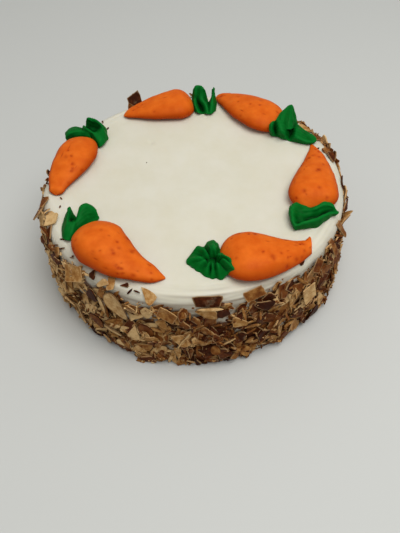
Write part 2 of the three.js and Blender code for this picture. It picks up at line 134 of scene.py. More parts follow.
cakeShape = {
    "radius": 107.0,          # mm
    "height": 69.0,
    "shoulder": 8.0,
    "around": 540,            # points in a ring, then rings up each part
    "sideRows": 36,
    "shoulderRows": 18,
    "topRows": 74,
    "sideWaves": (26, 0.6),   # mm across, mm in and out
    "topWaves": (48, 0.35),
    "knifeMarks": (11, 0.22),
    "knifeBand": (72, 9),     # mm along the outline: the middle of the marks, their spread
    "sideEnds": (55, 20),     # mm along the outline: where its waves fade, over how far
    "topSinks": 0.4,          # mm that the whole top has settled
    "rimDip": (0.5, 82, 20),  # mm that it falls off at its edge, from which radius, over how far
    "ledgeWidth": 0.6,        # mm over which a ledge steps down
    "ledges": [               # left by the edge of the knife: way along, sway, height in mm
        (67.5, 2.2, 0.12), (72.5, 3.8, 0.16), (78.5, 3.4, 0.12), (83, 2.4, 0.06),
    ],
    "dents": [                # x, y, width and depth in mm
        (-29.9, 44.4, 2.4, 0.8), (12, 61, 3.0, 0.2), (44, -12, 4.0, 0.18),
    ],
}


# where the coat ends: turn round the cake in degrees, way up along the outline in mm
coatEdge = [
    (-180, 62), (-172, 66), (-165, 67), (-160, 62), (-152, 61), (-143, 64), (-136, 68), (-125, 69),
    (-118, 65), (-112, 62), (-100, 61), (-93, 63), (-84, 64), (-77, 61), (-70, 65), (-62, 66),
    (-55, 61), (-47, 60), (-40, 62), (-33, 64), (-25, 62), (-15, 61), (-5, 60), (3, 62), (10, 68),
    (22, 69), (32, 70), (45, 66), (55, 60), (75, 57), (115, 57), (150, 57), (165, 60), (180, 62),
]


def coatTop(turn):
    degrees = (math.degrees(turn) + 180) % 360 - 180
    return np.interp(degrees, *zip(*coatEdge)) + 0.8 * math.sin(17 * turn)


# spots that the almonds left bare: turn in degrees, way along the outline and radius in mm
bareSpots = [
    (-129, 60, 4), (-126, 68, 4.5), (-125.5, 47, 3), (-112, 64, 3.5), (-114, 44, 3),
    (-107.5, 46, 3), (-98, 63, 3), (-83, 46, 2.5), (-146, 57, 4), (-154, 66, 3), (-137, 40, 2.5),
    (-33, 45, 2.5), (-20, 52, 3), (12, 48, 4), (47, 40, 3), (75, 30, 3.5), (102, 47, 4),
    (131, 35, 3), (158, 52, 4),
]


def clearOfSpots(turn, along):
    # how far a place on the side is outside the nearest bare spot, in mm
    across = 2 * cakeShape["radius"]
    away = [
        np.hypot(across * np.sin((turn - math.radians(spot)) / 2), along - height) - radius
        for spot, height, radius in bareSpots
    ]
    return np.min(away, axis=0)


def frostingMaterial():
    look = {
        "thick": "#cec9b5",
        "thin": "#d3cfbf",
        "stainAndShade": "#5b3519",   # oil and skin of the nuts rubbed into the frosting, and painted shade in the gaps of the coat and on the shoulder above it
        "roughness": 0.5,
        "blotch": 21.0,       # mm between soft blotches
        "tooth": 0.9,         # mm, grain of the cheese and sugar, coarser than it is so as to show
    }
    material, shader = newMaterial(
        "creamCheeseFrostingSpread", Roughness=look["roughness"], IOR=1.46,
        Specular_IOR_Level=0.3, Subsurface_Weight=0.18, Subsurface_Radius=(1.0, 0.85, 0.6),
        Subsurface_Scale=0.003,
    )
    place = addNode(material, "ShaderNodeTexCoord")
    blotch = addNode(
        material, "ShaderNodeTexNoise", {"Vector": place.outputs["Object"]},
        Scale=1 / (look["blotch"] * millimetre), Detail=3.0, Roughness=0.6,
    )
    tone = addNode(material, "ShaderNodeValToRGB", {"Fac": blotch.outputs["Fac"]})
    rampStops(tone, [(0.3, look["thick"]), (0.7, look["thin"])])
    # the share of nut stain and painted shade at each point
    stainAndShadeShare = addNode(material, "ShaderNodeAttribute", attribute_name="stainAndShadeShare")
    colour = addNode(material, "ShaderNodeMix", {
        "Factor": stainAndShadeShare.outputs["Fac"], colourA: tone.outputs["Color"],
        colourB: linear(look["stainAndShade"]),
    }, data_type="RGBA")
    tooth = addNode(
        material, "ShaderNodeTexNoise", {"Vector": place.outputs["Object"]},
        Scale=1 / (look["tooth"] * millimetre), Detail=3.0,
    )
    bump = addNode(
        material, "ShaderNodeBump", {"Height": tooth.outputs["Fac"]},
        Strength=0.12, Distance=0.3 * millimetre,
    )
    return joinSurface(material, shader, colour.outputs[colourOut], bump)


def profileAt(along):
    # the cake's outline by the way along it: up the side, over the shoulder, in to the middle
    radius, height, shoulder = cakeShape["radius"], cakeShape["height"], cakeShape["shoulder"]
    straight = height - shoulder
    angle = np.clip((along - straight) / shoulder, 0, math.pi / 2)
    inward = np.maximum(along - straight - shoulder * math.pi / 2, 0)
    r = radius - shoulder + shoulder * np.cos(angle) - inward
    z = np.where(along < straight, along, straight + shoulder * np.sin(angle))
    return r, z, np.cos(angle), np.sin(angle)


def unevenness(angle, along):
    # how far the frosting stands off its true outline, in mm
    shape = cakeShape
    x, y, r = np.cos(angle), np.sin(angle), profileAt(along)[0]

    def wavy(kind, seed, *place):
        size, depth = shape[kind]
        noise = softNoise(np.stack(place, -1).reshape(-1, 3), size, seed)
        return noise.reshape(np.shape(angle)) * depth

    waves = wavy("sideWaves", 3, shape["radius"] * x, shape["radius"] * y, along)
    top = wavy("topWaves", 5, r * x, r * y, 0 * r)
    # knife marks are drawn out round the cake and lie close together along the outline
    marks = wavy("knifeMarks", 4, 30 * x, 30 * y, along * 4)
    middle, spread = shape["knifeBand"]
    inBand = np.exp(-((along - middle) / spread) ** 2)
    start, over = shape["sideEnds"]
    side = np.clip(1 - (along - start) / over, 0, 1)
    deep, start, over = shape["rimDip"]
    dip = deep * np.clip((r - start) / over, 0, 1) ** 2
    for n, (middle, sway, high) in enumerate(shape["ledges"]):
        line = middle + sway * np.sin(3 * angle + 2 * n) + 0.5 * sway * np.sin(8 * angle + n)
        shown = np.clip(0.2 + np.sin(4 * angle + 1.7 * n) + 0.5 * np.sin(11 * angle), 0, 1)
        marks = marks + high * shown * np.tanh((line - along) / shape["ledgeWidth"])
    for dentX, dentY, wide, deep in shape["dents"]:
        dip = dip + deep * np.exp(-((r * x - dentX) ** 2 + (r * y - dentY) ** 2) / wide ** 2)
    return side * waves + inBand * marks + (1 - side) * (top - shape["topSinks"] - dip)


def frostingPoints(angle, along, lift=0.0):
    r, z, outR, outZ = profileAt(along)
    off = unevenness(angle, along) + lift
    r, z = r + outR * off, z + outZ * off
    return np.stack([r * np.cos(angle), r * np.sin(angle), z], -1)


# how the nuts stain the frosting, with painted shade in the gaps and above the coat, as shares from
# 0 clean to 1 brown, with sizes in mm
nutStainAndShade = {
    "begins": (4, 3),         # how far under the edge of the coat, and over how far
    "cleanPatch": 7,          # across a patch that stays clean
    "ragged": 1.5,            # how far the edges of the bare spots wander
    "overEdge": (0.2, 2.5),   # partly stain, partly painted shade just over the coat, and how fast it fades
    "streaks": (0.07, 0.27),  # all round, and the painted shade that the front adds
    "streakReach": 13,        # how far over the coat they end
}


def stainAndShadeAt(angles, alongs, edge, points):
    # under the almonds it is rubbed brown, which is also painted shade in the gaps between them,
    # but for a few clean patches and the bare spots
    start, over = nutStainAndShade["begins"]
    stainAndGapShade = np.clip((edge - start - alongs) / over, 0, 1).ravel()
    clean = np.clip(softNoise(points, nutStainAndShade["cleanPatch"], 6) * 1.4 - 1.1, 0, 1)
    fromSpot = clearOfSpots(angles, alongs).ravel() + nutStainAndShade["ragged"] * softNoise(points, 4, 7)
    clean = np.maximum(clean, np.clip(0.6 - fromSpot / 3, 0, 0.95))
    # for some way above the coat it is tinted too, in streaks: partly nut stain, partly painted
    # shade where the shoulder turns down, with painted shade most at the front
    above = (alongs - edge).ravel()
    most, fade = nutStainAndShade["overEdge"]
    stainAndShadeAbove = most * np.exp(-np.maximum(above, 0) / fade)
    streak = np.stack([14 * np.cos(angles), 14 * np.sin(angles), alongs * 3], -1).reshape(-1, 3)
    streaks = np.clip(0.7 + 0.7 * softNoise(streak, 4, 8), 0, 1.6)
    # painted shade on the side of the shoulder that faces the front
    frontShadeMask = np.clip(-np.sin(angles) - 0.75, 0, 0.25).ravel() * 4
    allRound, frontShadeShare = nutStainAndShade["streaks"]
    shown = np.clip(1 - above / nutStainAndShade["streakReach"], 0, 1)
    stainAndShadeAbove += shown * (allRound + frontShadeShare * frontShadeMask) * streaks
    return np.maximum(stainAndGapShade * (1 - clean), stainAndShadeAbove)


def makeFrosting():
    shape = cakeShape
    straight = shape["height"] - shape["shoulder"]
    bend = shape["shoulder"] * math.pi / 2
    inner = shape["radius"] - shape["shoulder"]
    # on the top the rings lie closer together near the edge, and the last is a small one
    along = np.concatenate([
        np.linspace(0, straight, shape["sideRows"], endpoint=False),
        straight + np.linspace(0, bend, shape["shoulderRows"], endpoint=False),
        straight + bend + inner * np.linspace(0, 0.992, shape["topRows"]) ** 1.15,
    ])
    around = shape["around"]
    turn = np.linspace(0, 2 * math.pi, around, endpoint=False)
    angles, alongs = np.meshgrid(turn, along)
    points = frostingPoints(angles, alongs).reshape(-1, 3)
    points[:around, 2] = 0
    edge = np.array([coatTop(t) for t in turn])
    # nut stain and painted shade at each point
    stainAndShadeShare = np.append(stainAndShadeAt(angles, alongs, edge, points), [0, 1])
    rows = len(along)
    faces = gridFaces(rows, around, True)
    points = np.vstack([points, points[-around:].mean(0), [0, 0, 0]])
    top, foot = rows * around, rows * around + 1
    last = (rows - 1) * around
    for j in range(around):
        k = (j + 1) % around
        faces.append([last + j, last + k, top])
        faces.append([k, j, foot])
    piece = meshPiece(
        "frosted_cake", points, faces, frostingMaterial(), {"stainAndShadeShare": stainAndShadeShare},
    )
    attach(piece, "root")
    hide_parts("cake")
    print("frosting", len(piece.data.polygons), "faces")


# almonds: flaked almonds toasted in the oven, so a matt nut flesh from cream to brown with
# the dark red-brown skin left round the rim, pressed into the side in overlapping layers

def almondMaterial():
    look = {
        "flesh": ["#d0ad79", "#a2743e", "#78471d", "#54260b", "#331405"],
        "skin": "#3d190a",
        "cut": "#c6a272",
        "smear": "#bda985",   # frosting rubbed over the nuts
        "smearSize": 11.0,    # mm between smears
        "roughness": 0.6,
        "rough": 0.8,         # mm, the uneven face that the slicing blade leaves
        "blotch": 4.0,        # mm across a browned patch
    }
    material, shader = newMaterial(
        "toastedAlmondSliced", Roughness=look["roughness"], IOR=1.47, Specular_IOR_Level=0.08,
    )
    place = addNode(material, "ShaderNodeTexCoord")
    # toast of each slice, with painted shade on the front of the coat
    toastAndShade = addNode(material, "ShaderNodeAttribute", attribute_name="toastAndShade")
    rim = addNode(material, "ShaderNodeAttribute", attribute_name="rim")
    blotch = addNode(
        material, "ShaderNodeTexNoise", {"Vector": place.outputs["Object"]},
        Scale=1 / (look["blotch"] * millimetre), Detail=4.0, Roughness=0.65,
    )
    spread = addNode(
        material, "ShaderNodeMapRange", {"Value": blotch.outputs["Fac"]},
        From_Min=0.3, From_Max=0.7, To_Min=-0.2, To_Max=0.2,
    )
    toastShadeAndBlotch = addNode(
        material, "ShaderNodeMath", {0: toastAndShade.outputs["Fac"], 1: spread.outputs["Result"]},
        operation="ADD",
    )
    flesh = addNode(material, "ShaderNodeValToRGB", {"Fac": toastShadeAndBlotch.outputs["Value"]})
    rampStops(flesh, list(zip((0.0, 0.28, 0.52, 0.76, 1.0), look["flesh"])))
    # the rim runs from 0 inside to 1 at the skin, or to -1 where the slice broke
    colour = flesh.outputs["Color"]
    for tint, end, most in (("skin", 1.0, 0.75), ("cut", -1.0, 0.5)):
        edge = addNode(
            material, "ShaderNodeMapRange", {"Value": rim.outputs["Fac"]},
            From_Min=0.3 * end, From_Max=0.95 * end, To_Min=0.0, To_Max=most,
        )
        mixed = addNode(material, "ShaderNodeMix", {
            "Factor": edge.outputs["Result"], colourA: colour, colourB: linear(look[tint]),
        }, data_type="RGBA")
        colour = mixed.outputs[colourOut]
    rubbed = addNode(
        material, "ShaderNodeTexNoise", {"Vector": place.outputs["Object"]},
        Scale=1 / (look["smearSize"] * millimetre), Detail=6.0, Roughness=0.7,
    )
    share = addNode(
        material, "ShaderNodeMapRange", {"Value": rubbed.outputs["Fac"]},
        From_Min=0.58, From_Max=0.76, To_Min=0.0, To_Max=0.35,
    )
    smeared = addNode(material, "ShaderNodeMix", {
        "Factor": share.outputs["Result"], colourA: colour, colourB: linear(look["smear"]),
    }, data_type="RGBA")
    rough = addNode(
        material, "ShaderNodeTexNoise", {"Vector": place.outputs["Object"]},
        Scale=1 / (look["rough"] * millimetre), Detail=2.0,
    )
    bump = addNode(
        material, "ShaderNodeBump", {"Height": rough.outputs["Fac"]},
        Strength=0.35, Distance=0.3 * millimetre,
    )
    return joinSurface(material, shader, smeared.outputs[colourOut], bump)


almondCoat = {
    "seed": 41,
    "cell": 0.5,              # mm, grid on which the layers build up
    "reach": 5.2,             # mm that a flat piece may stand out of the frosting
    "layer": 1.4,             # mm by which one piece raises what lies on it
    "whole": {"count": 150, "length": (13, 18), "slim": (0.5, 0.64), "corners": 20},
    "broken": {"count": 1250, "length": (7, 14.5), "slim": (0.5, 0.85), "corners": 15},
    "sliver": {"count": 1500, "length": (4, 11), "slim": (0.14, 0.3), "corners": 8},
    "late": {"whole": 0.1, "broken": 0.25, "sliver": 0.35},   # so the small lie over the large
    "thickness": (0.7, 1.1),
    "tones": [                # share of the slices up to this one, then toast from and to
        (0.07, 0.0, 0.2), (0.34, 0.2, 0.42), (0.72, 0.42, 0.7), (1.0, 0.7, 1.0),
    ],
    "frontCoatShade": 0.16,       # painted shade: the coat is made a little darker where it faces the front
    "rightPaler": 0.24,       # and paler where it faces the right or the left
    "leftPaler": 0.62,
    "steepShare": 0.5,        # of the slices are pushed in at a slant
    "steepSlope": 0.85,       # how far their slopes spread, and those of the others
    "flatSlope": 0.16,
    "steepRise": 4.0,         # mm, which holds back the slope of the long ones
    "steepClears": 0.45,      # share of what is under a slice that it lies over
    "flatClears": 0.8,
    "notableClears": 0.98,
    "notableProud": 1.6,      # mm that it may stand out further than the others
    "standing": {"thickness": 0.9, "sunk": 0.6, "buried": 0.2},   # mm, mm, share of its height
    "underCrumbs": {"count": 3600, "atFoot": 0.55, "spread": 20},   # mm up from the foot
    "topCrumbs": {"count": 700, "atFoot": 0.9, "spread": 9},
    "crumbSize": (0.7, 2.3),
    "crumbStretch": ([0.5, 0.35, 0.2], [1.0, 0.7, 0.5]),
    "crumbPaleShare": 0.45,
    "crumbTones": ((0.3, 0.7), (0.6, 0.95)),   # toast of the pale ones and of the rest, whose dark tones in the gaps are partly painted shade
    "strays": {               # slips of skin: least and most of length, width and toast
        "count": 50, "least": (1.2, 0.6, 0.55), "most": (3.6, 1.3, 0.95),
        "parts": ((-185, -125), (-5, 45), (45, 175)),   # turn in degrees, then their shares
        "shares": (0.5, 0.2, 0.3), "spread": 3.5, "clears": 0.9,
    },
}

# slices that catch the eye: turn round the cake in degrees, way along the outline, length and
# width in mm, lie in degrees from level, toast from 0 cream to 1 dark, lift of one end
notableSlices = {
    "oval": [
        (-118, 52.5, 23.5, 15.5, -60, 0.1, 0.05), (-121, 25.5, 15, 11, -45, 0.05, 0.0),
        (-129, 50, 17, 8.5, 75, 0.9, 0.1), (-124, 48.5, 13, 4.5, -64, 0.05, 0.4),
        (-137, 14, 15, 10, 64, 0.15, 0.1), (-129, 23, 15, 10, -65, 0.62, 0.0),
        (-131, 5, 15, 11, 10, 1.0, 0.1), (-72, 18, 10, 8, -18, 0.25, 0.1),
        (-85, 19, 7, 8, -12, 0.5, 0.3), (-44, 8, 17, 11, 83, 1.0, 0.2),
        (-150, 56, 15, 8, 35, 0.75, 0.1),
    ],
    "block": [
        (-87, 65, 19, 8, -1, 0.93, 0.12), (-71, 64, 14, 8, 12, 0.5, 0.2),
        (-49, 40, 17, 11, -78, 0.12, 0.1), (-100.5, 56, 13, 8.5, -28, 0.4, 0.1),
        (-136, 62, 17, 12, 25, 0.3, 0.05), (-161, 70.5, 10.5, 9.5, 64, 0.02, 0.12),
        (-169, 64, 13, 8, -4, 0.6, 0.4), (-121, 67.5, 9, 5.5, -67, 0.28, 0.1),
        (-143, 22, 10, 8, -30, 0.1, 0.1), (-25, 60, 15, 6, -82, 0.5, 0.25),
        (-34, 59, 15, 6, -85, 0.55, 0.2), (-45, 60, 10, 7, 42, 0.7, 0.2),
    ],
    "shard": [
        (-107, 67.5, 13, 7.5, -38, 0.25, 0.1), (-87.5, 57, 15, 10, -18, 0.3, 0.1),
        (-68, 54, 13, 9, -23, 1.0, 0.1), (-77, 46.5, 11, 9, -15, 0.3, 0.15),
        (-54, 10, 13, 9, -67, 0.28, 0.1), (-102, 45, 10, 8, -35, 0.35, 0.1),
        (-109, 16, 11, 10, 33, 0.4, 0.1), (-98, 15.5, 14, 5, 88, 0.22, 0.1),
        (-126, 4, 8, 7, -58, 0.25, 0.2), (-124, 66, 10, 5, 30, 0.1, 0.1),
        (-129, 67, 7, 4.5, -56, 0.95, 0.2), (-116, 69.5, 6, 3.5, 22, 0.95, 0.1),
        (-164.5, 71.5, 8, 6, 68, 0.12, 0.1), (-172, 68, 13, 7, 7, 0.6, 0.15),
        (-157, 65, 9, 6, -31, 0.78, 0.1), (-148, 62, 12, 7, 54, 0.35, 0.2),
        (-20, 59, 11, 6, 30, 0.45, 0.55), (-14, 60, 12, 6, 3, 0.8, 0.2),
        (-9, 61.5, 8, 5, 6, 0.3, 0.3), (30, 71.5, 11, 7, 5, 0.28, 0.1),
        (23, 70, 9, 6, 10, 0.6, 0.1), (13, 70, 8, 7, 21, 0.5, 0.1), (9, 69, 10, 7, 14, 0.8, 0.1),
        (88, 72, 6, 4, 10, 0.7, 0.5), (104, 71, 7, 5, 60, 0.85, 0.7),
        (-155, 59, 9, 6, -60, 0.85, 0.2), (-150.5, 61, 8, 5, 50, 0.9, 0.25),
        (-147, 57, 8, 5.5, -70, 0.8, 0.2), (-158.5, 57, 8, 5, 20, 0.75, 0.2),
        (-166, 70, 8.5, 5, 15, 0.05, 0.35),
    ],
    "sliver": [
        (-95.5, 33, 19, 1.6, 62, 0.05, 0.1), (-86.5, 61.5, 17, 2.2, -5, 0.08, 0.1),
        (-73, 36, 12, 3, 8, 0.3, 0.2), (-81, 28.5, 11, 1.8, 21, 0.1, 0.1),
        (-62, 20, 17, 2.6, -81, 0.25, 0.2), (-113.5, 67, 5, 1.3, 59, 1.0, 0.1),
        (-111, 68, 4.5, 1.1, -5, 1.0, 0.1), (-149.5, 71, 4, 1, 40, 1.0, 0.0),
        (-146, 67.5, 4, 1, 50, 1.0, 0.0), (-50, 68.5, 6.5, 3.4, 40, 0.9, 0.2),
        (-4, 66, 12, 1.6, 8, 1.0, 0.1), (133, 72, 3.5, 1.2, 60, 0.9, 0.1),
        (134.7, 81.5, 3, 1, 10, 0.9, 0.0), (-172.4, 79.4, 2.6, 1, 30, 0.8, 0.0),
        (-167.5, 78, 2.6, 1, -20, 0.8, 0.0),
    ],
}


# slices that stand up from the edge of the coat: turn in degrees, way along the outline,
# length and width in mm, spin in their own plane and lean outwards in degrees, toast
standingSlices = [
    (113.5, 65, 15, 12, 14, 38, 0.97), (116, 64, 8, 6, -30, 30, 0.6),
    (86.5, 67, 6, 3.5, 80, 35, 0.8), (34, 62, 9, 7, 80, 30, 0.2), (31, 63.5, 9, 5, 85, 35, 0.4),
    (28.5, 62.5, 7, 6, 60, 25, 0.25), (26, 64, 5, 3, 40, 30, 0.6), (23.5, 66, 4.5, 3, 20, 30, 0.9),
    (22, 64, 5, 4, -30, 30, 0.5), (20.5, 65, 5, 3.5, 60, 20, 0.8), (19, 63.5, 6, 4, -50, 40, 0.35),
    (17.5, 64.5, 5, 3, 10, 30, 0.9), (16, 64, 6, 4, 50, 35, 0.65), (14, 64, 9, 6, 75, 30, 0.7),
    (11.5, 64.5, 8, 6, 60, 35, 0.9), (9, 63.5, 8, 6, 80, 30, 0.65), (6, 62.5, 8, 5, 60, 35, 0.45),
    (-15.5, 52, 13, 7, 5, 56, 0.3), (-22, 57, 11, 6, 60, 40, 0.45), (-150, 60, 13, 9, 40, 40, 0.6),
    (-158, 62, 11, 8, -30, 45, 0.7), (171, 65, 8, 4.5, 10, 15, 0.85),
    (174.5, 67, 5, 3, 70, 45, 0.75), (178, 66, 4, 3, 20, 40, 0.6),
    (146.6, 133.5, 1.5, 1.3, 0, 60, 1.0),
]


def chipCuts(shape, draw):
    # where a slice broke: the way each straight break faces and how far out it lies
    count = {"oval": 0, "whole": 0, "block": 4, "shard": 3, "sliver": 1}.get(shape)
    if count is None:
        count = draw.integers(2, 5)
    first = 0 if shape in ("block", "sliver") else draw.uniform(0, 2 * math.pi)
    far, sway = ((0.66, 0.76), 0.07) if shape == "block" else ((0.3, 0.8), 0.2)
    return [
        (first + 2 * math.pi * n / count + draw.normal(0, sway), draw.uniform(*far))
        for n in range(count)
    ]


def chipOutline(length, width, corners, cuts, draw, square=1.0):
    # a slice is an oval with one end drawn out, or a block where square is under 1; a broken
    # one ends at straight rough breaks
    angle = np.linspace(0, 2 * math.pi, corners, endpoint=False) + draw.uniform(0, 0.4)
    x, y = 0.5 * np.cos(angle), 0.5 * np.sin(angle) * (1 - 0.25 * np.cos(angle))
    x, y = (0.5 * np.sign(v) * np.abs(2 * v) ** square for v in (x, y))
    share = np.ones(corners)
    for way, far in cuts:
        toward = 2 * (x * math.cos(way) + y * math.sin(way))
        share = np.minimum(share, far / np.maximum(toward, 1e-3))
    whole = share > 0.999
    share = share * np.where(whole, 1, draw.uniform(0.94, 1.05, corners))
    x, y = x * share, y * share
    x, y = x * length / np.ptp(x), y * width / np.ptp(y)
    return x - (x.max() + x.min()) / 2, y - (y.max() + y.min()) / 2, whole


def chipSolid(x, y, whole, thickness, curl):
    # a thin curled plate with crisp edges: rings of points from the middle of one face,
    # over the rim, to the middle of the other
    corners = len(x)
    rings = [(0.84, 0.5, 0), (1.0, 0.4, 1), (0.98, -0.5, 1)]
    points, rim = [[0, 0, 0.5 * thickness]], [0.0]
    for share, level, edge in rings:
        points += np.stack([x * share, y * share, np.full(corners, level * thickness)], -1).tolist()
        rim += (np.where(whole, 1.0, -1.0) * edge).tolist()
    points.append([0, 0, -0.5 * thickness])
    rim.append(0.0)
    points = np.array(points)
    u, v = points[:, 0].copy(), points[:, 1].copy()
    points[:, 2] += curl[0] * u ** 2 + curl[1] * v ** 2 + curl[2] * u * v
    faces = [[0, 1 + j, 1 + (j + 1) % corners] for j in range(corners)]
    for i in range(len(rings) - 1):
        base = 1 + i * corners
        for j in range(corners):
            k = (j + 1) % corners
            faces.append([base + j, base + corners + j, base + corners + k, base + k])
    base = 1 + (len(rings) - 1) * corners
    last = len(points) - 1
    faces += [[base + (j + 1) % corners, base + j, last] for j in range(corners)]
    return points, faces, rim


class CoatLayers:
    # the side of the cake unrolled into a grid that remembers how deep the almonds lie
    def __init__(self):
        cell = almondCoat["cell"]
        self.across = int(2 * math.pi * cakeShape["radius"] / cell)
        self.alongs = np.arange(0.25, 84, cell)
        turn = np.arange(self.across) * 2 * math.pi / self.across
        angles, alongs = np.meshgrid(turn, self.alongs)
        self.base = frostingPoints(angles, alongs)
        _, _, outR, outZ = profileAt(alongs)
        self.out = np.stack([outR * np.cos(angles), outR * np.sin(angles), outZ], -1)
        self.depth = np.zeros(angles.shape)

    def window(self, turn, along, size):
        cell = almondCoat["cell"]
        middle = int(round(turn / (2 * math.pi) * self.across))
        half = int(size / 2 / cell) + 2
        columns = np.arange(middle - half, middle + half + 1) % self.across
        row = int(along / cell)
        rows = np.arange(max(row - half, 0), min(row + half + 1, len(self.alongs)))
        return np.ix_(rows, columns)

    def lay(self, turn, along, lie, outline, thickness, tip, clears, proud):
        # rests a plate on what is there already and returns its place, or None where it has none
        x, y = outline
        spin = Matrix.Rotation(lie, 3, "Z")
        window = self.window(turn, along, max(np.ptp(x), np.ptp(y)) * 1.1)
        origin = frostingPoints(np.array([turn]), np.array([along]))[0]
        _, _, outR, outZ = (v[0] for v in profileAt(np.array([along])))
        out = Vector((outR * math.cos(turn), outR * math.sin(turn), outZ))
        side = Vector((-math.sin(turn), math.cos(turn), 0))
        up = out.cross(side)
        local = np.array([side, up, out]).T @ np.array(spin)
        surface = self.base[window] + self.out[window] * self.depth[window][..., None]
        places = (surface - origin) @ local
        u, v, w = places[..., 0], places[..., 1], places[..., 2]
        reach = np.hypot(u / (np.ptp(x) / 2), v / (np.ptp(y) / 2))
        under = (reach < 1.0) & (np.abs(w) < 9)   # mm, so not what lies far below
        if under.sum() < 6:
            return None
        # the plane that fits what is under the plate best, then tipped
        plane = np.stack([u[under], v[under], np.ones(under.sum())], -1)
        slope, *_ = np.linalg.lstsq(plane, w[under], rcond=None)
        slope[0] = np.clip(slope[0], -0.5, 0.5) + tip[0]
        slope[1] = np.clip(slope[1], -0.5, 0.5) + tip[1]
        rest = w[under] - slope[0] * u[under] - slope[1] * v[under]
        level = np.quantile(rest, clears) + 0.45 * thickness
        corner = slope[0] * x + slope[1] * y + level
        limit = almondCoat["reach"] + 2.2 * math.hypot(*tip) + proud
        # a plate that stands out too far is pushed in, and left out if that would bury it
        if corner.max() > limit:
            level -= corner.max() - limit
            if level < -1.5:
                return None
        topOf = slope[0] * u + slope[1] * v + level + 0.5 * thickness
        depth = self.depth[window]
        raised = np.minimum(depth + topOf - w, depth + almondCoat["layer"])
        raised = np.minimum(raised, almondCoat["reach"])
        self.depth[window] = np.where(under, np.maximum(depth, raised), depth)
        normal = np.array([-slope[0], -slope[1], 1.0])
        normal /= np.linalg.norm(normal)
        first = np.array([1.0, 0, slope[0]])
        first /= np.linalg.norm(first)
        second = np.cross(normal, first)
        turned = local @ np.stack([first, second, normal], -1)
        return turned, origin + local @ np.array([0, 0, level])


def sidePaler(turn):
    # the coat is paler to the right, and paler still to the left
    toward = math.cos(turn)
    if toward > 0:
        return almondCoat["rightPaler"] * toward
    return almondCoat["leftPaler"] * math.sqrt(-toward)


def toastOf(draw):
    # most slices come out of the oven tan or mid brown, some pale, some nearly burnt
    pick = draw.random()
    low, high = next((low, high) for share, low, high in almondCoat["tones"] if pick <= share)
    return draw.uniform(low, high)


def gather(name, solids, material):
    points, faces, rim, toastAndShade = [], [], [], []
    count = 0
    for place, plate, ring, shade in solids:
        points.append(place)
        faces += [[count + i for i in face] for face in plate]
        rim += ring
        toastAndShade += [shade] * len(place)
        count += len(place)
    piece = meshPiece(name, np.vstack(points), faces, material, {"rim": rim, "toastAndShade": toastAndShade})
    piece.data.set_sharp_from_angle(angle=math.radians(38))
    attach(piece, "root")
    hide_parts("cake")
    triangles = sum(len(p.vertices) - 2 for p in piece.data.polygons)
    print(name, len(solids), "pieces,", triangles, "triangles")


def aboveTable(points):
    # lifts what would reach through the table, in mm
    points[:, 2] += max(0.05 - points[:, 2].min(), 0)
    return points


def standingSlice(turn, along, length, width, spin, lean, draw):
    setting = almondCoat["standing"]
    turn, spin, lean = math.radians(turn), math.radians(spin), math.radians(lean)
    out = np.array([math.cos(turn), math.sin(turn), 0])
    ahead = math.cos(lean) * np.array([0, 0, 1]) + math.sin(lean) * out
    side = np.array([-math.sin(turn), math.cos(turn), 0])
    axes = np.stack([ahead, side, np.cross(ahead, side)], -1)
    axes = axes @ np.array(Matrix.Rotation(spin, 3, "Z"))
    corners = almondCoat["broken"]["corners"]
    x, y, whole = chipOutline(length, width, corners, chipCuts("broken", draw), draw)
    points, faces, rim = chipSolid(x, y, whole, setting["thickness"], (0.02, 0.02, 0.0))
    points = points @ axes.T
    rise = points @ ahead
    # its foot is pressed into the frosting
    foot = frostingPoints(np.array([turn]), np.array([along]), -setting["sunk"])[0]
    points += foot - ahead * (rise.min() + setting["buried"] * np.ptp(rise))
    return points, faces, rim


def scatterCrumbs(layers, found, crumbs, draw):
    # bits of nut and skin that fill the gaps, most of them at the foot; their dark tones also stand
    # for the shade in the gaps, as painted shade
    # a crumb is two rings of corners between two points, pulled out of shape
    small, large = almondCoat["crumbSize"]
    sides = 5
    ring = np.linspace(0, 2 * math.pi, sides, endpoint=False)
    upper = np.stack([np.cos(ring), np.sin(ring), 0.5 + 0 * ring], -1)
    lower = np.stack([np.cos(ring + 0.3), np.sin(ring + 0.3), -0.5 + 0 * ring], -1)
    faces = []
    for j in range(sides):
        k = (j + 1) % sides
        faces += [[0, 1 + j, 1 + k], [1 + j, 1 + sides + j, 1 + sides + k, 1 + k]]
        faces.append([1 + sides + k, 1 + sides + j, 1 + 2 * sides])
    for _ in range(crumbs["count"]):
        turn = draw.uniform(0, 2 * math.pi)
        edge = coatTop(turn)
        if draw.random() < crumbs["atFoot"]:
            along = min(abs(draw.normal(0, crumbs["spread"])), edge)
        else:
            along = draw.uniform(0, edge)
        size = small + (large - small) * draw.random() ** 2
        row = min(int(along / almondCoat["cell"]), len(layers.alongs) - 1)
        column = int(turn / (2 * math.pi) * layers.across) % layers.across
        out = layers.out[row, column]
        middle = layers.base[row, column] + out * (layers.depth[row, column] + size * 0.15)
        stretch = draw.uniform(*almondCoat["crumbStretch"])
        points = np.vstack([[0, 0, 0.8], upper, lower, [0, 0, -0.8]])
        points[1:-1] *= draw.uniform(0.75, 1.15, (2 * sides, 1))
        angle = draw.uniform(0, 6.3)
        spin = np.array(Matrix.Rotation(angle, 3, Vector(draw.normal(size=3)).normalized()))
        placed = aboveTable((points * stretch * size) @ spin.T + middle)
        pale = draw.random() < almondCoat["crumbPaleShare"]
        shade = draw.uniform(*almondCoat["crumbTones"][0 if pale else 1]) - sidePaler(turn)
        if clearOfSpots(turn, along) >= 0:
            found.append((placed, faces, [0.0] * len(points), shade))


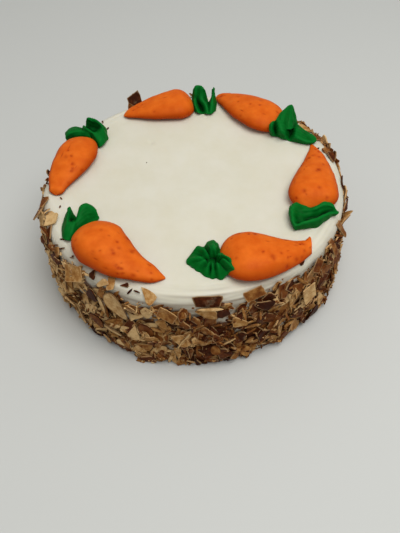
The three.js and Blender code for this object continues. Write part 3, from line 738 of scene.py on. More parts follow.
def makeAlmonds():
    coat = almondCoat
    draw = np.random.default_rng(coat["seed"])
    layers = CoatLayers()
    material = almondMaterial()
    laid = {"whole": [], "broken": [], "sliver": [], "crumbs": []}

    def place(kind, shape, turn, along, length, width, lie, shade, tip, clears, proud=0.0):
        corners, square = coat[kind]["corners"], 0.45 if shape == "block" else 1.0
        x, y, whole = chipOutline(length, width, corners, chipCuts(shape, draw), draw, square)
        thickness = draw.uniform(*coat["thickness"])
        curl = draw.normal(0, 1, 3) * (0.01, 0.02, 0.01)
        found = layers.lay(turn, along, lie, (x, y), thickness, tip, clears, proud)
        if found is None:
            return
        points, faces, rim = chipSolid(x, y, whole, thickness, curl)
        laid[kind].append((aboveTable(points @ found[0].T + found[1]), faces, rim, shade))

    scatterCrumbs(layers, laid["crumbs"], coat["underCrumbs"], draw)
    order = [kind for kind in ("whole", "broken", "sliver") for _ in range(coat[kind]["count"])]
    order.sort(key=lambda kind: coat["late"][kind] + draw.random())
    for kind in order:
        setting = coat[kind]
        length = draw.uniform(*setting["length"])
        width = length * draw.uniform(*setting["slim"])
        lie = draw.uniform(0, math.pi)
        turn = draw.uniform(0, 2 * math.pi)
        halfTall = 0.5 * (length * math.sin(lie) + width * abs(math.cos(lie)))
        along = draw.uniform(1.0, coatTop(turn) - 0.75 * halfTall)
        if clearOfSpots(turn, along) < 0.3 * length:
            continue
        steep = draw.random() < coat["steepShare"]
        slope = min(coat["steepSlope"], coat["steepRise"] / length) if steep else coat["flatSlope"]
        # toast, with painted shade where the coat faces the front
        shade = toastOf(draw) - coat["frontCoatShade"] * math.sin(turn) - sidePaler(turn)
        place(
            kind, kind, turn, along, length, width, lie, min(max(shade, 0), 1),
            draw.normal(0, slope, 2), coat["steepClears" if steep else "flatClears"],
        )
    for shape, slices in notableSlices.items():
        kind = {"oval": "whole", "sliver": "sliver"}.get(shape, "broken")
        for turn, along, length, width, lie, shade, lift in slices:
            turn, lie = math.radians(turn % 360), math.radians(lie)
            place(
                kind, shape, turn, along, length, width, lie, shade,
                (lift, 0.0), coat["notableClears"], coat["notableProud"],
            )
    for *where, shade in standingSlices:
        laid["broken"].append((*standingSlice(*where, draw), shade))
    # slips of skin that fell on the bare frosting above the coat, half of them at the left
    strays = coat["strays"]
    for _ in range(strays["count"]):
        lie = draw.uniform(0, math.pi)
        length, width, shade = draw.uniform(strays["least"], strays["most"])
        part = strays["parts"][draw.choice(3, p=strays["shares"])]
        turn = math.radians(draw.uniform(*part))
        along = coatTop(turn) + abs(draw.normal(0, strays["spread"])) + 1
        turn %= 2 * math.pi
        place(
            "sliver", "sliver", turn, along, length, width, lie, shade,
            (0, 0), strays["clears"],
        )
    scatterCrumbs(layers, laid["crumbs"], coat["topCrumbs"], draw)
    gather("almond_slices", laid["whole"], material)
    gather("almond_broken_slices", laid["broken"], material)
    gather("almond_slivers", laid["sliver"], material)
    gather("almond_crumbs", laid["crumbs"], material)


# carrots: buttercream coloured deep orange and piped in one squeeze with a round nozzle,
# so a satin, slightly waxy skin with small pits where air bubbles burst and short drag lines

def orangeMaterial():
    look = {
        "skin": "#cc5811",
        "light": "#db691b",
        # painted shade in the pits and drag lines, by their depth
        "pit": "#972703",
        "under": "#a83a02",   # painted shade down the lower sides, where it meets the frosting
        "roughness": 0.5,
        "mottle": 7.0,        # mm between paler and deeper patches
        "tooth": 0.6,         # mm, grain of the sugar, drawn coarser than it is so as to show
    }
    material, shader = newMaterial(
        "orangeButtercreamPiped", Roughness=look["roughness"], IOR=1.46, Specular_IOR_Level=0.06,
        Subsurface_Weight=0.06, Subsurface_Radius=(1.0, 0.3, 0.05), Subsurface_Scale=0.0015,
    )
    place = addNode(material, "ShaderNodeTexCoord")
    mottle = addNode(
        material, "ShaderNodeTexNoise", {"Vector": place.outputs["Object"]},
        Scale=1 / (look["mottle"] * millimetre), Detail=4.0,
    )
    tone = addNode(material, "ShaderNodeValToRGB", {"Fac": mottle.outputs["Fac"]})
    rampStops(tone, [(0.32, look["skin"]), (0.68, look["light"])])
    colour = tone.outputs["Color"]
    # painted shade down the lower sides and in the pits
    for tint in ("under", "pit"):
        mark = addNode(material, "ShaderNodeAttribute", attribute_name=tint)
        mixed = addNode(material, "ShaderNodeMix", {
            "Factor": mark.outputs["Fac"], colourA: colour, colourB: linear(look[tint]),
        }, data_type="RGBA")
        colour = mixed.outputs[colourOut]
    tooth = addNode(
        material, "ShaderNodeTexNoise", {"Vector": place.outputs["Object"]},
        Scale=1 / (look["tooth"] * millimetre), Detail=2.0,
    )
    bump = addNode(
        material, "ShaderNodeBump", {"Height": tooth.outputs["Fac"]},
        Strength=0.1, Distance=0.2 * millimetre,
    )
    return joinSurface(material, shader, colour, bump)


# each carrot: its burst air bubbles, its middle line in plan from butt to tip in mm, half of
# its greatest width, how far along that is, how fast it tapers after, how much of the taper is
# straight, the tip's share of the width, where the tip rounds off, its rise over its width, and
# a pulled point in mm; a tail may be cut off flat where x comes to a number of mm
carrotShapes = {
    "carrot_1": {
        "pits": 9, "line": ((4.2, 85.3), (-14.2, 83), (-35.4, 80.2), (-51.4, 78.6)),
        "half": 16.5, "widest": 0.24, "taper": 0.58, "straight": 0.31, "tail": 0.24,
        "round": 0.89, "rise": 0.39, "pull": 0.5,
    },
    "carrot_2": {
        "pits": 12, "line": ((71.3, 53.5), (52.6, 63.5), (35.6, 87.8), (23.2, 97.2)),
        "half": 16.8, "widest": 0.29, "taper": 0.53, "straight": 0.11, "tail": 0.2, "round": 0.97,
        "rise": 0.38, "pull": 0.5,
    },
    "carrot_3": {
        "pits": 15, "line": ((79.8, -39.9), (79.4, -22.3), (93.6, 4.5), (90, 30.1)),
        "half": 17.1, "widest": 0.24, "taper": 0.79, "straight": 0.36, "tail": 0.22, "round": 0.8,
        "rise": 0.41, "pull": 2.5,
    },
    "carrot_4": {
        "pits": 20, "line": ((15.1, -81.5), (31.3, -77.9), (61, -80), (77.2, -65.6)),
        "half": 18.6, "widest": 0.28, "taper": 1.03, "straight": 0.0, "tail": 0.27,
        "round": 0.985, "rise": 0.38, "pull": 0.0, "cutAt": 74.1,
    },
    "carrot_5": {
        "pits": 24, "line": ((-73.7, -45.6), (-59.5, -65.7), (-46, -85.6), (-21.2, -89.2)),
        "half": 17.2, "widest": 0.31, "taper": 0.68, "straight": 0.73, "tail": 0.27,
        "round": 0.86, "rise": 0.48, "pull": 1.5,
    },
    "carrot_6": {
        "pits": 11, "line": ((-79.6, 50.4), (-82.8, 27.8), (-91.6, 13.4), (-96.2, -9.4)),
        "half": 15.2, "widest": 0.34, "taper": 0.45, "straight": 0.14, "tail": 0.31,
        "round": 0.96, "rise": 0.4, "pull": 0.0,
    },
}
carrotSkin = {
    "rows": 130,
    "around": 110,
    "lumps": 0.3,             # mm, broad unevenness of the squeeze
    "pitDepth": 0.6,          # mm
    "pitSize": (0.45, 1.1),
    "pitStrength": (0.4, 1.0),   # share of the depth
    "drags": 6,               # short lines dragged by the nozzle
    "dragStrength": (0.4, 0.8),
    "dragLength": (1.8, 3.6),    # mm
    "dragWidth": (0.3, 0.5),
    "under": (0.8, 0.65, 0.85),  # painted shade of the lower sides: it deepens from this level (1 is its crest), over how far, how much
}


def frostingHeight(distance):
    # of the smooth outline, at a distance from the middle of the cake
    shoulder = cakeShape["shoulder"]
    over = np.clip(distance - (cakeShape["radius"] - shoulder), 0, shoulder * 0.995)
    return cakeShape["height"] - shoulder + np.sqrt(shoulder ** 2 - over ** 2)


def carrotGrid(shape):
    rows, around = carrotSkin["rows"], carrotSkin["around"]
    share = (1 - np.cos(np.linspace(0, math.pi, rows))) / 2
    s, t = share[:, None], 1 - share[:, None]
    a, b, c, d = (np.array(point, float) for point in shape["line"])
    line = t ** 3 * a + 3 * s * t ** 2 * b + 3 * s * s * t * c + s ** 3 * d
    ahead = 3 * (t ** 2 * (b - a) + 2 * s * t * (c - b) + s * s * (d - c))
    ahead /= np.linalg.norm(ahead, axis=1)[:, None]
    # it swells to its widest, tapers and is rounded at the tip
    widest, straight, tail = shape["widest"], shape["straight"], shape["tail"]
    past = np.clip((share - widest) / (1 - widest), 0, 1)
    belly = np.sqrt(np.clip(1 - ((widest - share) / widest) ** 2, 0, 1))
    curved = ((1 + np.cos(math.pi * past)) / 2) ** shape["taper"]
    taper = tail + (1 - tail) * ((1 - straight) * curved + straight * (1 - past))
    rounding = np.clip((share - shape["round"]) / (1 - shape["round"]), 0, 1)
    width = shape["half"] * np.where(share < widest, belly, taper * np.sqrt(1 - rounding ** 2))
    width = np.maximum(width, 0.05)
    angle = np.linspace(0, 2 * math.pi, around, endpoint=False)
    side = width[:, None] * np.cos(angle)
    thin = width / (shape["half"] * tail)
    forward = shape["pull"] * np.exp(-((thin / 0.45) ** 2)) * (share > 0.5)
    x = line[:, :1] - ahead[:, 1:] * side + ahead[:, :1] * forward[:, None]
    y = line[:, 1:] + ahead[:, :1] * side + ahead[:, 1:] * forward[:, None]
    # a tail that is cut off ends flat, with a slightly soft edge
    over = x - shape.get("cutAt", cakeShape["radius"])
    x = x - 0.5 * (over + np.sqrt(over ** 2 + 0.5))
    tall = 2 * width * shape["rise"]
    lift = tall[:, None] * (0.43 + 0.57 * np.sin(angle))
    z = frostingHeight(np.hypot(x, y)) + lift
    return np.stack([x, y, z], -1), ahead, share


def makeCarrots():
    material = orangeMaterial()
    for index, (name, shape) in enumerate(carrotShapes.items()):
        draw = np.random.default_rng(100 + index)
        grid, ahead, share = carrotGrid(shape)
        rows, around = grid.shape[:2]
        points = grid.reshape(-1, 3)
        centre = grid.mean(1, keepdims=True)
        outward = (grid - centre).reshape(-1, 3)
        outward /= np.linalg.norm(outward, axis=1)[:, None] + 1e-9
        fade = np.repeat(np.clip(np.minimum(share, 1 - share) / 0.08, 0, 1), around)
        lumps = softNoise(points, 15, 200 + index) * carrotSkin["lumps"]
        lumps += softNoise(points, 4, 300 + index) * carrotSkin["lumps"] * 0.25
        pit = np.zeros(len(points))
        for n in range(shape["pits"] + carrotSkin["drags"]):
            # a dent is two or three soft hollows run together, a drag one long thin one
            row = int(np.argmin(np.abs(share - draw.uniform(0.06, 0.94))))
            turn = draw.uniform(0.06, 0.94) * math.pi
            spot = grid[row, int(turn / (2 * math.pi) * around) % around]
            drag = n >= shape["pits"]
            size = draw.uniform(*carrotSkin["pitSize"]) ** 1.5
            strength = draw.uniform(*carrotSkin["dragStrength" if drag else "pitStrength"])
            for _ in range(1 if drag else draw.integers(1, 4)):
                if drag:
                    longway = draw.uniform(*carrotSkin["dragLength"])
                    across = draw.uniform(*carrotSkin["dragWidth"])
                else:
                    longway = draw.uniform(0.7, 1.6) * size + 0.35
                    across = draw.uniform(0.6, 1.1) * size + 0.35
                away = points - spot
                part = away @ np.append(ahead[row], 0)
                rest = np.sqrt(np.maximum((away ** 2).sum(1) - part ** 2, 0))
                hollow = np.exp(-(part / longway) ** 2 - (rest / across) ** 2)
                pit = np.maximum(pit, strength * hollow)
                spot = spot + draw.normal(0, 0.8, 3) * size
        points = points + outward * ((lumps * fade) - pit * carrotSkin["pitDepth"])[:, None]
        faces = [face[::-1] for face in gridFaces(rows, around, True)]
        points = np.vstack([points, grid[0].mean(0), grid[-1].mean(0)])
        pit = np.append(pit, [0, 0])
        end = rows * around
        base = (rows - 1) * around
        for j in range(around):
            k = (j + 1) % around
            faces.append([j, k, end])
            faces.append([base + k, base + j, end + 1])
        # painted shade down the lower sides of each carrot
        level = np.sin(np.linspace(0, 2 * math.pi, around, endpoint=False))
        start, over, most = carrotSkin["under"]
        under = np.clip((start - np.tile(level, rows)) / over, 0, 1) * most
        marks = {"pit": pit, "under": np.append(under, [0, 0])}
        piece = meshPiece("piped_" + name, points, faces, material, marks)
        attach(piece, "root")
        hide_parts(name)
    print("carrots", len(carrotShapes))


# green tops: buttercream coloured leaf green and piped with a leaf nozzle, so folded
# ribbons with sharp ridges, a painted highlight on their crests and painted, almost black green
# shade in the folds

def greenMaterial():
    look = {
        "leaf": "#004f14",
        "light": "#03601e",
        "hollow": "#001a05",  # painted shade deep in a fold
        # painted highlight on a crest
        "crest": "#0a6f29",
        "roughness": 0.45,
        "mottle": 5.0,        # mm between paler and deeper patches
        "tooth": 0.5,         # mm, grain of the sugar, drawn coarser than it is so as to show
    }
    material, shader = newMaterial(
        "greenButtercreamPiped", Roughness=look["roughness"], IOR=1.46, Specular_IOR_Level=0.04,
        Subsurface_Weight=0.03, Subsurface_Radius=(0.2, 1.0, 0.3), Subsurface_Scale=0.0008,
    )
    place = addNode(material, "ShaderNodeTexCoord")
    mottle = addNode(
        material, "ShaderNodeTexNoise", {"Vector": place.outputs["Object"]},
        Scale=1 / (look["mottle"] * millimetre), Detail=3.0,
    )
    tone = addNode(material, "ShaderNodeValToRGB", {"Fac": mottle.outputs["Fac"]})
    rampStops(tone, [(0.3, look["leaf"]), (0.7, look["light"])])
    # painted shade in the folds and painted highlight on the crests: the fold runs from 1 deep in a
    # hollow to -1 on a crest
    foldShading = addNode(material, "ShaderNodeAttribute", attribute_name="foldShading")
    colour = tone.outputs["Color"]
    for tint, end, most in (("hollow", 1.0, 0.92), ("crest", -1.0, 0.6)):
        share = addNode(
            material, "ShaderNodeMapRange", {"Value": foldShading.outputs["Fac"]},
            From_Min=0.08 * end, From_Max=end, To_Min=0.0, To_Max=most,
        )
        mixed = addNode(material, "ShaderNodeMix", {
            "Factor": share.outputs["Result"], colourA: colour, colourB: linear(look[tint]),
        }, data_type="RGBA")
        colour = mixed.outputs[colourOut]
    tooth = addNode(
        material, "ShaderNodeTexNoise", {"Vector": place.outputs["Object"]},
        Scale=1 / (look["tooth"] * millimetre), Detail=2.0,
    )
    bump = addNode(
        material, "ShaderNodeBump", {"Height": tooth.outputs["Fac"]},
        Strength=0.12, Distance=0.2 * millimetre,
    )
    return joinSurface(material, shader, colour, bump)


# each top is a low mound (x, y, radius, height) under one or two sheets of icing; a sheet is
# given by rows of points across it, in the order the nozzle went, each x, y and height over
# the cake's flat top in mm
carrotTops = {
    "carrot_top_1": ((13, 84, 5, 3), [[
        ((4.4, 78.5, 0.6), (7.4, 74.2, 2.6), (11, 76.3, 0.6), (14.5, 73.1, 2.4), (17.7, 75.6, 0.6)),
        ((2.9, 83.9, 2.5), (5.4, 79.2, 6.2), (9.4, 83.1, 1.8), (13.3, 78.3, 6.4), (17.1, 82.8, 2)),
        ((2.7, 88.9, 6), (4.8, 84.7, 9), (7.3, 85, 7.8), (11, 82.8, 9.4), (15.4, 87.4, 5)),
        ((3.6, 89.9, 11), (5.6, 86.2, 13.4), (8, 86.4, 13.3), (11, 86.3, 13.4), (14.3, 88.5, 10.8)),
        ((4.5, 89.4, 15), (6.4, 88.1, 17), (8.8, 88.5, 17), (11, 87.5, 17), (13.1, 87.9, 14.8)),
        ((6, 90.4, 16.6), (7.3, 90.1, 17.3), (8.9, 90, 17.4), (10.3, 89.8, 17.2),
         (11.5, 89.7, 16.4)),
    ], [
        ((13, 77.8, 0.6), (16.3, 73.5, 2), (18.8, 74.9, 1.6), (21.3, 79.1, 0.6)),
        ((14.8, 85.1, 1), (17.2, 78.5, 6.2), (19.7, 79, 6), (22.3, 84.5, 2.4)),
        ((16.8, 88.8, 3.6), (18.3, 83, 8.8), (20.1, 84, 8.6), (22.1, 89, 5.4)),
        ((18.7, 88.1, 8.6), (19.3, 85.4, 11.4), (20.2, 86.1, 11.4), (21.3, 89.4, 9.6)),
        ((20, 89.2, 14.6), (20.2, 89.4, 15.2), (20.5, 89.6, 15.4), (20.7, 89.7, 14.8)),
    ]]),
    "carrot_top_2": ((70, 50, 7, 2.5), [[
        ((60.5, 45.3, 0.6), (59.6, 44.3, 4.5), (59.3, 44.7, 7), (59.7, 45.9, 9), (61.2, 48, 10)),
        ((62.4, 43.5, 0.8), (60.9, 41.2, 7), (60.6, 42.3, 9.6), (61, 44.2, 11.4),
         (62.5, 47.5, 11.8)),
        ((65.5, 42.6, 0.6), (64.5, 44.3, 3), (64.2, 46.4, 5), (63.7, 47.1, 8), (64.4, 48.7, 10.4)),
        ((68.6, 40.3, 0.8), (66.7, 38.7, 7.4), (66.2, 41, 10.4), (66.1, 45.2, 12),
         (65.9, 49.8, 12.4)),
        ((71.4, 38.5, 0.8), (70, 37.3, 7), (69.9, 40.4, 9.4), (70.5, 45.2, 11), (71.3, 52.4, 11.5)),
        ((74.4, 37.3, 0.4), (74.6, 40.3, 1.2), (76.1, 44.2, 2), (76.8, 46.5, 4.6), (76.8, 52.3, 9)),
        ((77.8, 35.1, 0.8), (77.5, 33.8, 6), (78.7, 37.8, 6.8), (80.4, 43.2, 6.6), (82.2, 50.6, 5)),
        ((83.6, 32.6, 0.8), (83.9, 31.3, 4.4), (85.1, 34.2, 4.8), (86.4, 38.3, 4.8),
         (87.8, 44.6, 3.4)),
        ((88, 30.9, 0.8), (88.8, 30.3, 3.4), (90, 32.9, 3.8), (90.8, 36, 4), (91.6, 40.4, 3)),
        ((90.7, 31.3, 1), (92.3, 31.8, 2.2), (93.5, 33.3, 2.6), (93.9, 35.6, 2.6), (93.5, 38.5, 2)),
    ], [
        ((65.5, 50.1, 9), (68, 43.7, 10), (71.6, 41.7, 8.6), (76.1, 43.3, 6.6), (82.1, 51.7, 4)),
        ((66, 51.1, 11.6), (69, 48, 13), (72.8, 48.7, 11.4), (76.5, 48.9, 11), (81.6, 53.8, 7.6)),
        ((69.2, 57, 12.2), (71.7, 54.9, 13.6), (74.6, 55.2, 12.9), (77.3, 54.8, 12.8),
         (80.7, 58.3, 10.4)),
        ((73.7, 60.8, 13.4), (75.3, 60.4, 14.2), (76.9, 60.8, 14), (78.2, 60.7, 14),
         (79.8, 60.9, 12.6)),
        ((76.1, 62.5, 14), (77, 62.6, 14.3), (77.7, 62.9, 14.3), (78.4, 63, 14.2),
         (78.9, 62.3, 13.8)),
    ]]),
    "carrot_top_3": ((78, -47, 6, 2), [[
        ((63.8, -49.9, 1), (62.9, -48.1, 3), (62.4, -45.9, 4.2), (62.3, -43, 5), (62.7, -40.8, 5.6),
         (63.6, -38.1, 5.8), (65.5, -34.8, 4.8)),
        ((65.5, -54.7, 0.6), (64.3, -54.8, 4), (63.7, -52.9, 6), (63.8, -48.8, 7.4),
         (64.3, -44.1, 8.2), (65.8, -39.7, 8), (68.2, -34.6, 6.2)),
        ((67.6, -54.5, 0.6), (66.5, -55.2, 4.6), (66.4, -54.5, 5.4), (67.4, -50, 4),
         (67.8, -44.5, 6), (69.1, -39.8, 6.4), (71.5, -35.2, 6.2)),
        ((71.2, -54.2, 0.6), (70, -54.9, 5), (69.8, -53.9, 6.6), (71.1, -49.2, 3),
         (71.6, -44.4, 4.4), (72.6, -41.2, 6.4), (74.1, -37.3, 6)),
        ((75.8, -53.5, 0.6), (74.6, -54, 5.2), (74.2, -52.8, 7), (75.8, -47.6, 1),
         (76.3, -43.8, 4.2), (76.9, -41.5, 6.2), (77.8, -39.2, 5.6)),
        ((81.1, -52, 0.6), (79.5, -52.7, 5.4), (79, -51.3, 7), (80.3, -46.5, 1), (80.7, -43.3, 4.6),
         (81.2, -41.7, 7.4), (82, -38.6, 6.4)),
        ((86.6, -48, 0.6), (84.8, -49.2, 5), (84.2, -48.2, 6.4), (85.1, -44, 2), (85.5, -41.7, 5.2),
         (86.1, -39.7, 8.6), (87.6, -35.9, 7.6)),
        ((91.5, -44.2, 0.2), (90.3, -45.5, 4.2), (90.2, -44.6, 5), (91, -42.1, 3.6),
         (91.4, -40.7, 5), (91.6, -40.1, 7), (92.4, -37.3, 6.2)),
        ((95.6, -41.1, -1), (95.4, -43.3, 2), (95.8, -43.3, 2.6), (96.3, -42.7, 2.8),
         (96, -42, 3.2), (95, -41.1, 3.8), (94.3, -39.1, 3.6)),
    ]]),
    "carrot_top_4": ((9.5, -79.5, 6, 2), []),
    "carrot_top_5": ((-79, -45, 6, 2), [[
        ((-80.7, -54.1, 0.6), (-82.1, -54.7, 1.4), (-83.3, -55, 2), (-84.6, -54.5, 2),
         (-86.2, -53.2, 1.4), (-87.8, -50.5, 0.3)),
        ((-77.1, -49.7, 1), (-80, -50.6, 5), (-81.8, -50.3, 5.4), (-83.5, -50, 5.4),
         (-85.6, -48.9, 4.4), (-88.6, -45.1, 0.8)),
        ((-76.2, -42.5, 2), (-78.3, -43.5, 6.8), (-79.9, -44.2, 7.2), (-81.6, -44.4, 7.2),
         (-84.2, -43.8, 6.4), (-88.4, -38.4, 1)),
        ((-79.2, -34.4, 1), (-80.1, -35.9, 1.2), (-81.3, -36.7, 1), (-82.5, -37.8, 2),
         (-83.8, -40, 7), (-87.8, -34.1, 1.6)),
        ((-80.2, -32.3, 1), (-80.8, -33.6, 2.4), (-81.6, -34.6, 3.6), (-82.2, -35.4, 5.4),
         (-83.4, -36.8, 8.4), (-86.4, -32.5, 4)),
        ((-81.7, -31, 3.6), (-81.7, -32.1, 5.2), (-81.9, -33, 6.6), (-82, -33.8, 8),
         (-82.7, -34.8, 9.6), (-84.5, -32.6, 7)),
        ((-82.2, -32.2, 9), (-82.1, -32.5, 9.8), (-82.1, -32.7, 10.4), (-82.2, -32.8, 10.8),
         (-82.4, -33, 10.6), (-82.8, -33.1, 10)),
    ], [
        ((-78.4, -50.5, 1), (-80.6, -47.4, 4.6), (-81.1, -45.9, 6.2), (-81.4, -42.5, 5.4),
         (-82, -37, 2)),
        ((-74.7, -47.7, 0.6), (-77.7, -45.5, 5.6), (-78.2, -43.3, 6.8), (-78.3, -40.3, 6),
         (-78.9, -34.7, 2)),
        ((-71, -44.3, 0.6), (-74.2, -41.7, 6.2), (-74.9, -39.3, 8.6), (-76, -35.9, 9.6),
         (-76.8, -32.4, 8.6)),
        ((-68.6, -40.8, 0.6), (-70.9, -38.4, 6), (-71.6, -35.3, 9), (-72.2, -32.3, 10.8),
         (-72.7, -29, 10)),
        ((-66.1, -37.8, 0.6), (-67.6, -35.8, 4.6), (-68.1, -33.8, 7.2), (-68.5, -31.4, 8.6),
         (-68.9, -28.7, 7.8)),
        ((-64, -34.5, 0.6), (-64.5, -34.2, 2.8), (-64.8, -33.3, 4.2), (-65.2, -32.2, 5),
         (-65.7, -30.2, 4.4)),
    ]]),
    "carrot_top_6": ((-78, 50, 6, 2), [[
        ((-95.9, 57.3, -6.2), (-95.1, 52.3, 1.6), (-95.6, 54.9, 2.4), (-96, 59.2, 1.4)),
        ((-92.9, 57.1, -6.2), (-91.8, 52.3, 4.6), (-92.5, 56, 5.2), (-93.1, 63.1, 2.4)),
        ((-86.9, 51.7, -1.3), (-86.8, 53, 5.8), (-87.1, 56.2, 6.2), (-87.9, 63.4, 3.4)),
        ((-81.2, 49.6, 0), (-81.5, 52.6, 5.8), (-82, 55.9, 5.4), (-82.7, 61.1, 3.4)),
        ((-75.5, 47.9, 1), (-76.5, 50.5, 5.6), (-77.9, 55.8, 4), (-79.4, 61.6, 2)),
    ], [
        ((-69.5, 40.3, 0.6), (-68.1, 39.7, 1.6), (-66.7, 40, 2), (-65.3, 41.9, 2),
         (-63.9, 45.3, 1.6), (-62.5, 50, 0.6)),
        ((-72.8, 45.3, 1), (-70, 42.9, 5), (-68, 43.1, 6), (-66, 44.7, 5.8), (-64.2, 47.8, 4.2),
         (-62.8, 52.2, 1.2)),
        ((-75.8, 50.3, 2), (-72.6, 47.9, 7.4), (-70.1, 49.9, 7.4), (-67.6, 51.4, 7.2),
         (-65.3, 53.5, 6.4), (-64.1, 58.4, 3)),
        ((-78.1, 52.2, 3), (-74.6, 50.2, 8), (-72.7, 56.5, 2.6), (-69.9, 58.9, 4.4),
         (-67.1, 56.9, 8.4), (-65.8, 60, 6)),
        ((-79.7, 54.8, 4), (-77.3, 52.8, 8.2), (-76.1, 59, 1.8), (-74.1, 62.5, 3.4),
         (-70.9, 61.6, 9), (-69.7, 63.7, 7)),
        ((-80.9, 57, 5.6), (-79.5, 55.9, 8), (-78.8, 62, 1.6), (-77.3, 64.2, 3.8),
         (-74.9, 63.2, 9.8), (-73.7, 64.1, 8.8)),
        ((-81.8, 60.8, 5.6), (-80.9, 60.4, 6.2), (-81.2, 63.4, 2.4), (-80.3, 65.3, 4.2),
         (-78.8, 64.4, 10.2), (-77.9, 64.6, 10)),
    ]]),
}
# the fourth top is a ruffle squeezed in a ring: for each fold its turn in degrees, reach in mm,
# and height over the frosting at its crest and at its edge
ruffleMiddle = (10.4, -80.8)
ruffleFolds = [
    (169, 17, 6.6, 1.6), (147, 16.1, 4, 2), (129, 15.8, 8, 4.6), (110, 15, 2.4, 2.4),
    (98, 16.2, 7.6, 4.6), (86, 17, 9, 5), (77, 15.4, 8, 4.6), (64, 11.6, 4, 3), (6, 6.5, 9.6, 8),
    (-15, 8.5, 7, 9), (-25, 11.7, 12.5, 11.5), (-35, 13.7, 8, 10), (-44, 17.1, 12, 9.5),
    (-50, 13, 6, 4.5), (-69, 12.8, 9, 1), (-83, 10.3, 5, 0.8), (-96, 10.9, 8.4, 0.8),
    (-108, 10.3, 1, 0.6), (-120, 10.4, 8, 0.8), (-147, 9.8, 4, 0.8), (-167, 11.7, 7, 1.2),
    (179, 14.2, 4.2, 1.2),
]
topPiping = {
    "steps": 8,               # between two given points
    "thickness": 2.2,
    "ridges": 0.13,           # mm, left by the teeth of the nozzle
    "teeth": 7,
    "hollow": 0.2,            # mm, height of the ruffle's open middle
    "voxel": 0.4,             # mm, at which the sheets are merged into one mass
    "swell": 0.2,             # mm, given back for what the merging takes away
    "grain": (3.5, 0.12),     # mm across, mm up and down
    "foldPasses": 60,         # smoothings against which a fold's depth is measured
    "foldDepth": 0.8,         # mm that counts as a full hollow or crest, for the painted shade and highlight
}


def smoothRows(rows, steps):
    # a curve through every given point, by the tangents of its neighbours
    rows = np.asarray(rows, float)
    ends = np.concatenate([2 * rows[:1] - rows[1:2], rows, 2 * rows[-1:] - rows[-2:-1]])
    place = np.linspace(0, len(rows) - 1, (len(rows) - 1) * steps + 1)
    span = np.minimum(place.astype(int), len(rows) - 2)
    t = (place - span).reshape((-1,) + (1,) * (rows.ndim - 1))
    a, b, c, d = (ends[span + n] for n in range(4))
    return b + 0.5 * t * (c - a + t * (2 * a - 5 * b + 4 * c - d + t * (3 * (b - c) + d - a)))


def closedSheet(upper, under):
    rows, columns = upper.shape[:2]
    points = np.concatenate([upper.reshape(-1, 3), under.reshape(-1, 3)])
    far = rows * columns
    faces = [face[::-1] for face in gridFaces(rows, columns, False)]
    faces += [[far + i for i in face[::-1]] for face in faces]
    rim = [j for j in range(columns)] + [i * columns + columns - 1 for i in range(1, rows)]
    rim += [far - columns + j for j in range(columns - 2, -1, -1)]
    rim += [i * columns for i in range(rows - 2, 0, -1)]
    for i, a in enumerate(rim):
        b = rim[(i + 1) % len(rim)]
        faces.append([a, b, far + b, far + a])
    return points, faces


def sheetSolid(rows):
    steps = topPiping["steps"]
    upper = smoothRows(rows, steps).transpose(1, 0, 2)
    upper = smoothRows(upper, steps).transpose(1, 0, 2) + [0, 0, cakeShape["height"]]
    out = np.cross(np.gradient(upper, axis=0), np.gradient(upper, axis=1))
    out /= np.linalg.norm(out, axis=2)[..., None] + 1e-9
    if out[..., 2].sum() < 0:
        upper, out = upper[:, ::-1], -out[:, ::-1]
    v = np.linspace(-1, 1, upper.shape[0])[:, None]
    u = np.linspace(-1, 1, upper.shape[1])[None, :]
    # the sheet thins to a round edge, and the marks of the teeth end before it
    rounded = np.sqrt((1 - 0.9 * u ** 6) * (1 - 0.9 * v ** 8))
    teeth = topPiping["ridges"] * np.cos(math.pi * topPiping["teeth"] * u)
    teeth = teeth * (1 - u ** 6) * (1 - v ** 8)
    under = upper - out * (topPiping["thickness"] * rounded)[..., None]
    return closedSheet(upper + out * teeth[..., None], under)


def ruffleSolid():
    # a ring of folds round an open middle
    around, rings = 240, 26
    turns, reach, crest, edge = np.array(sorted((f[0] % 360,) + f[1:] for f in ruffleFolds)).T
    turn = np.linspace(0, 360, around, endpoint=False)

    def between(values):
        n = np.searchsorted(turns, turn) % len(turns)
        gap = (turns[n] - turns[n - 1]) % 360
        t = ((turn - turns[n - 1]) % 360) / gap
        t = t * t * (3 - 2 * t)
        return (1 - t) * values[n - 1] + t * values[n]

    reach, crest, edge = between(reach), between(crest), between(edge)
    low = np.full(around, topPiping["hollow"])
    # each fold rises from the open middle to its crest and falls to its edge
    middle = 0.5 * (crest + edge) + 0.8
    stops = [low, 0.85 * low + 0.15 * crest, crest, middle, edge]
    share = np.linspace(0.02, 1, rings)
    profile = smoothRows(stops, 12)
    places = np.interp(share, [0, 0.24, 0.44, 0.75, 1], [0, 12, 24, 36, 48])
    before = places.astype(int)
    after, part = np.minimum(before + 1, len(profile) - 1), (places % 1)[:, None]
    height = profile[before] * (1 - part) + profile[after] * part
    angle = np.radians(turn)
    x = ruffleMiddle[0] + share[:, None] * reach * np.cos(angle)
    y = ruffleMiddle[1] + share[:, None] * reach * np.sin(angle)
    base = cakeShape["height"]
    upper = np.stack([x, y, base + height], -1)
    # its underside is flat, but rises towards the edge
    lip = np.clip((share[:, None] - 0.55) / 0.45, 0, 1) ** 2
    under = np.stack([x, y, base - 0.6 + lip * np.maximum(height - 1.6, 0)], -1)
    points = np.concatenate([upper.reshape(-1, 3), under[::-1].reshape(-1, 3)])
    faces = [face[::-1] for face in gridFaces(2 * rings, around, True)]
    last = (2 * rings - 1) * around
    faces.append(list(range(around)))
    faces.append([last + j for j in range(around - 1, -1, -1)])
    return points, faces


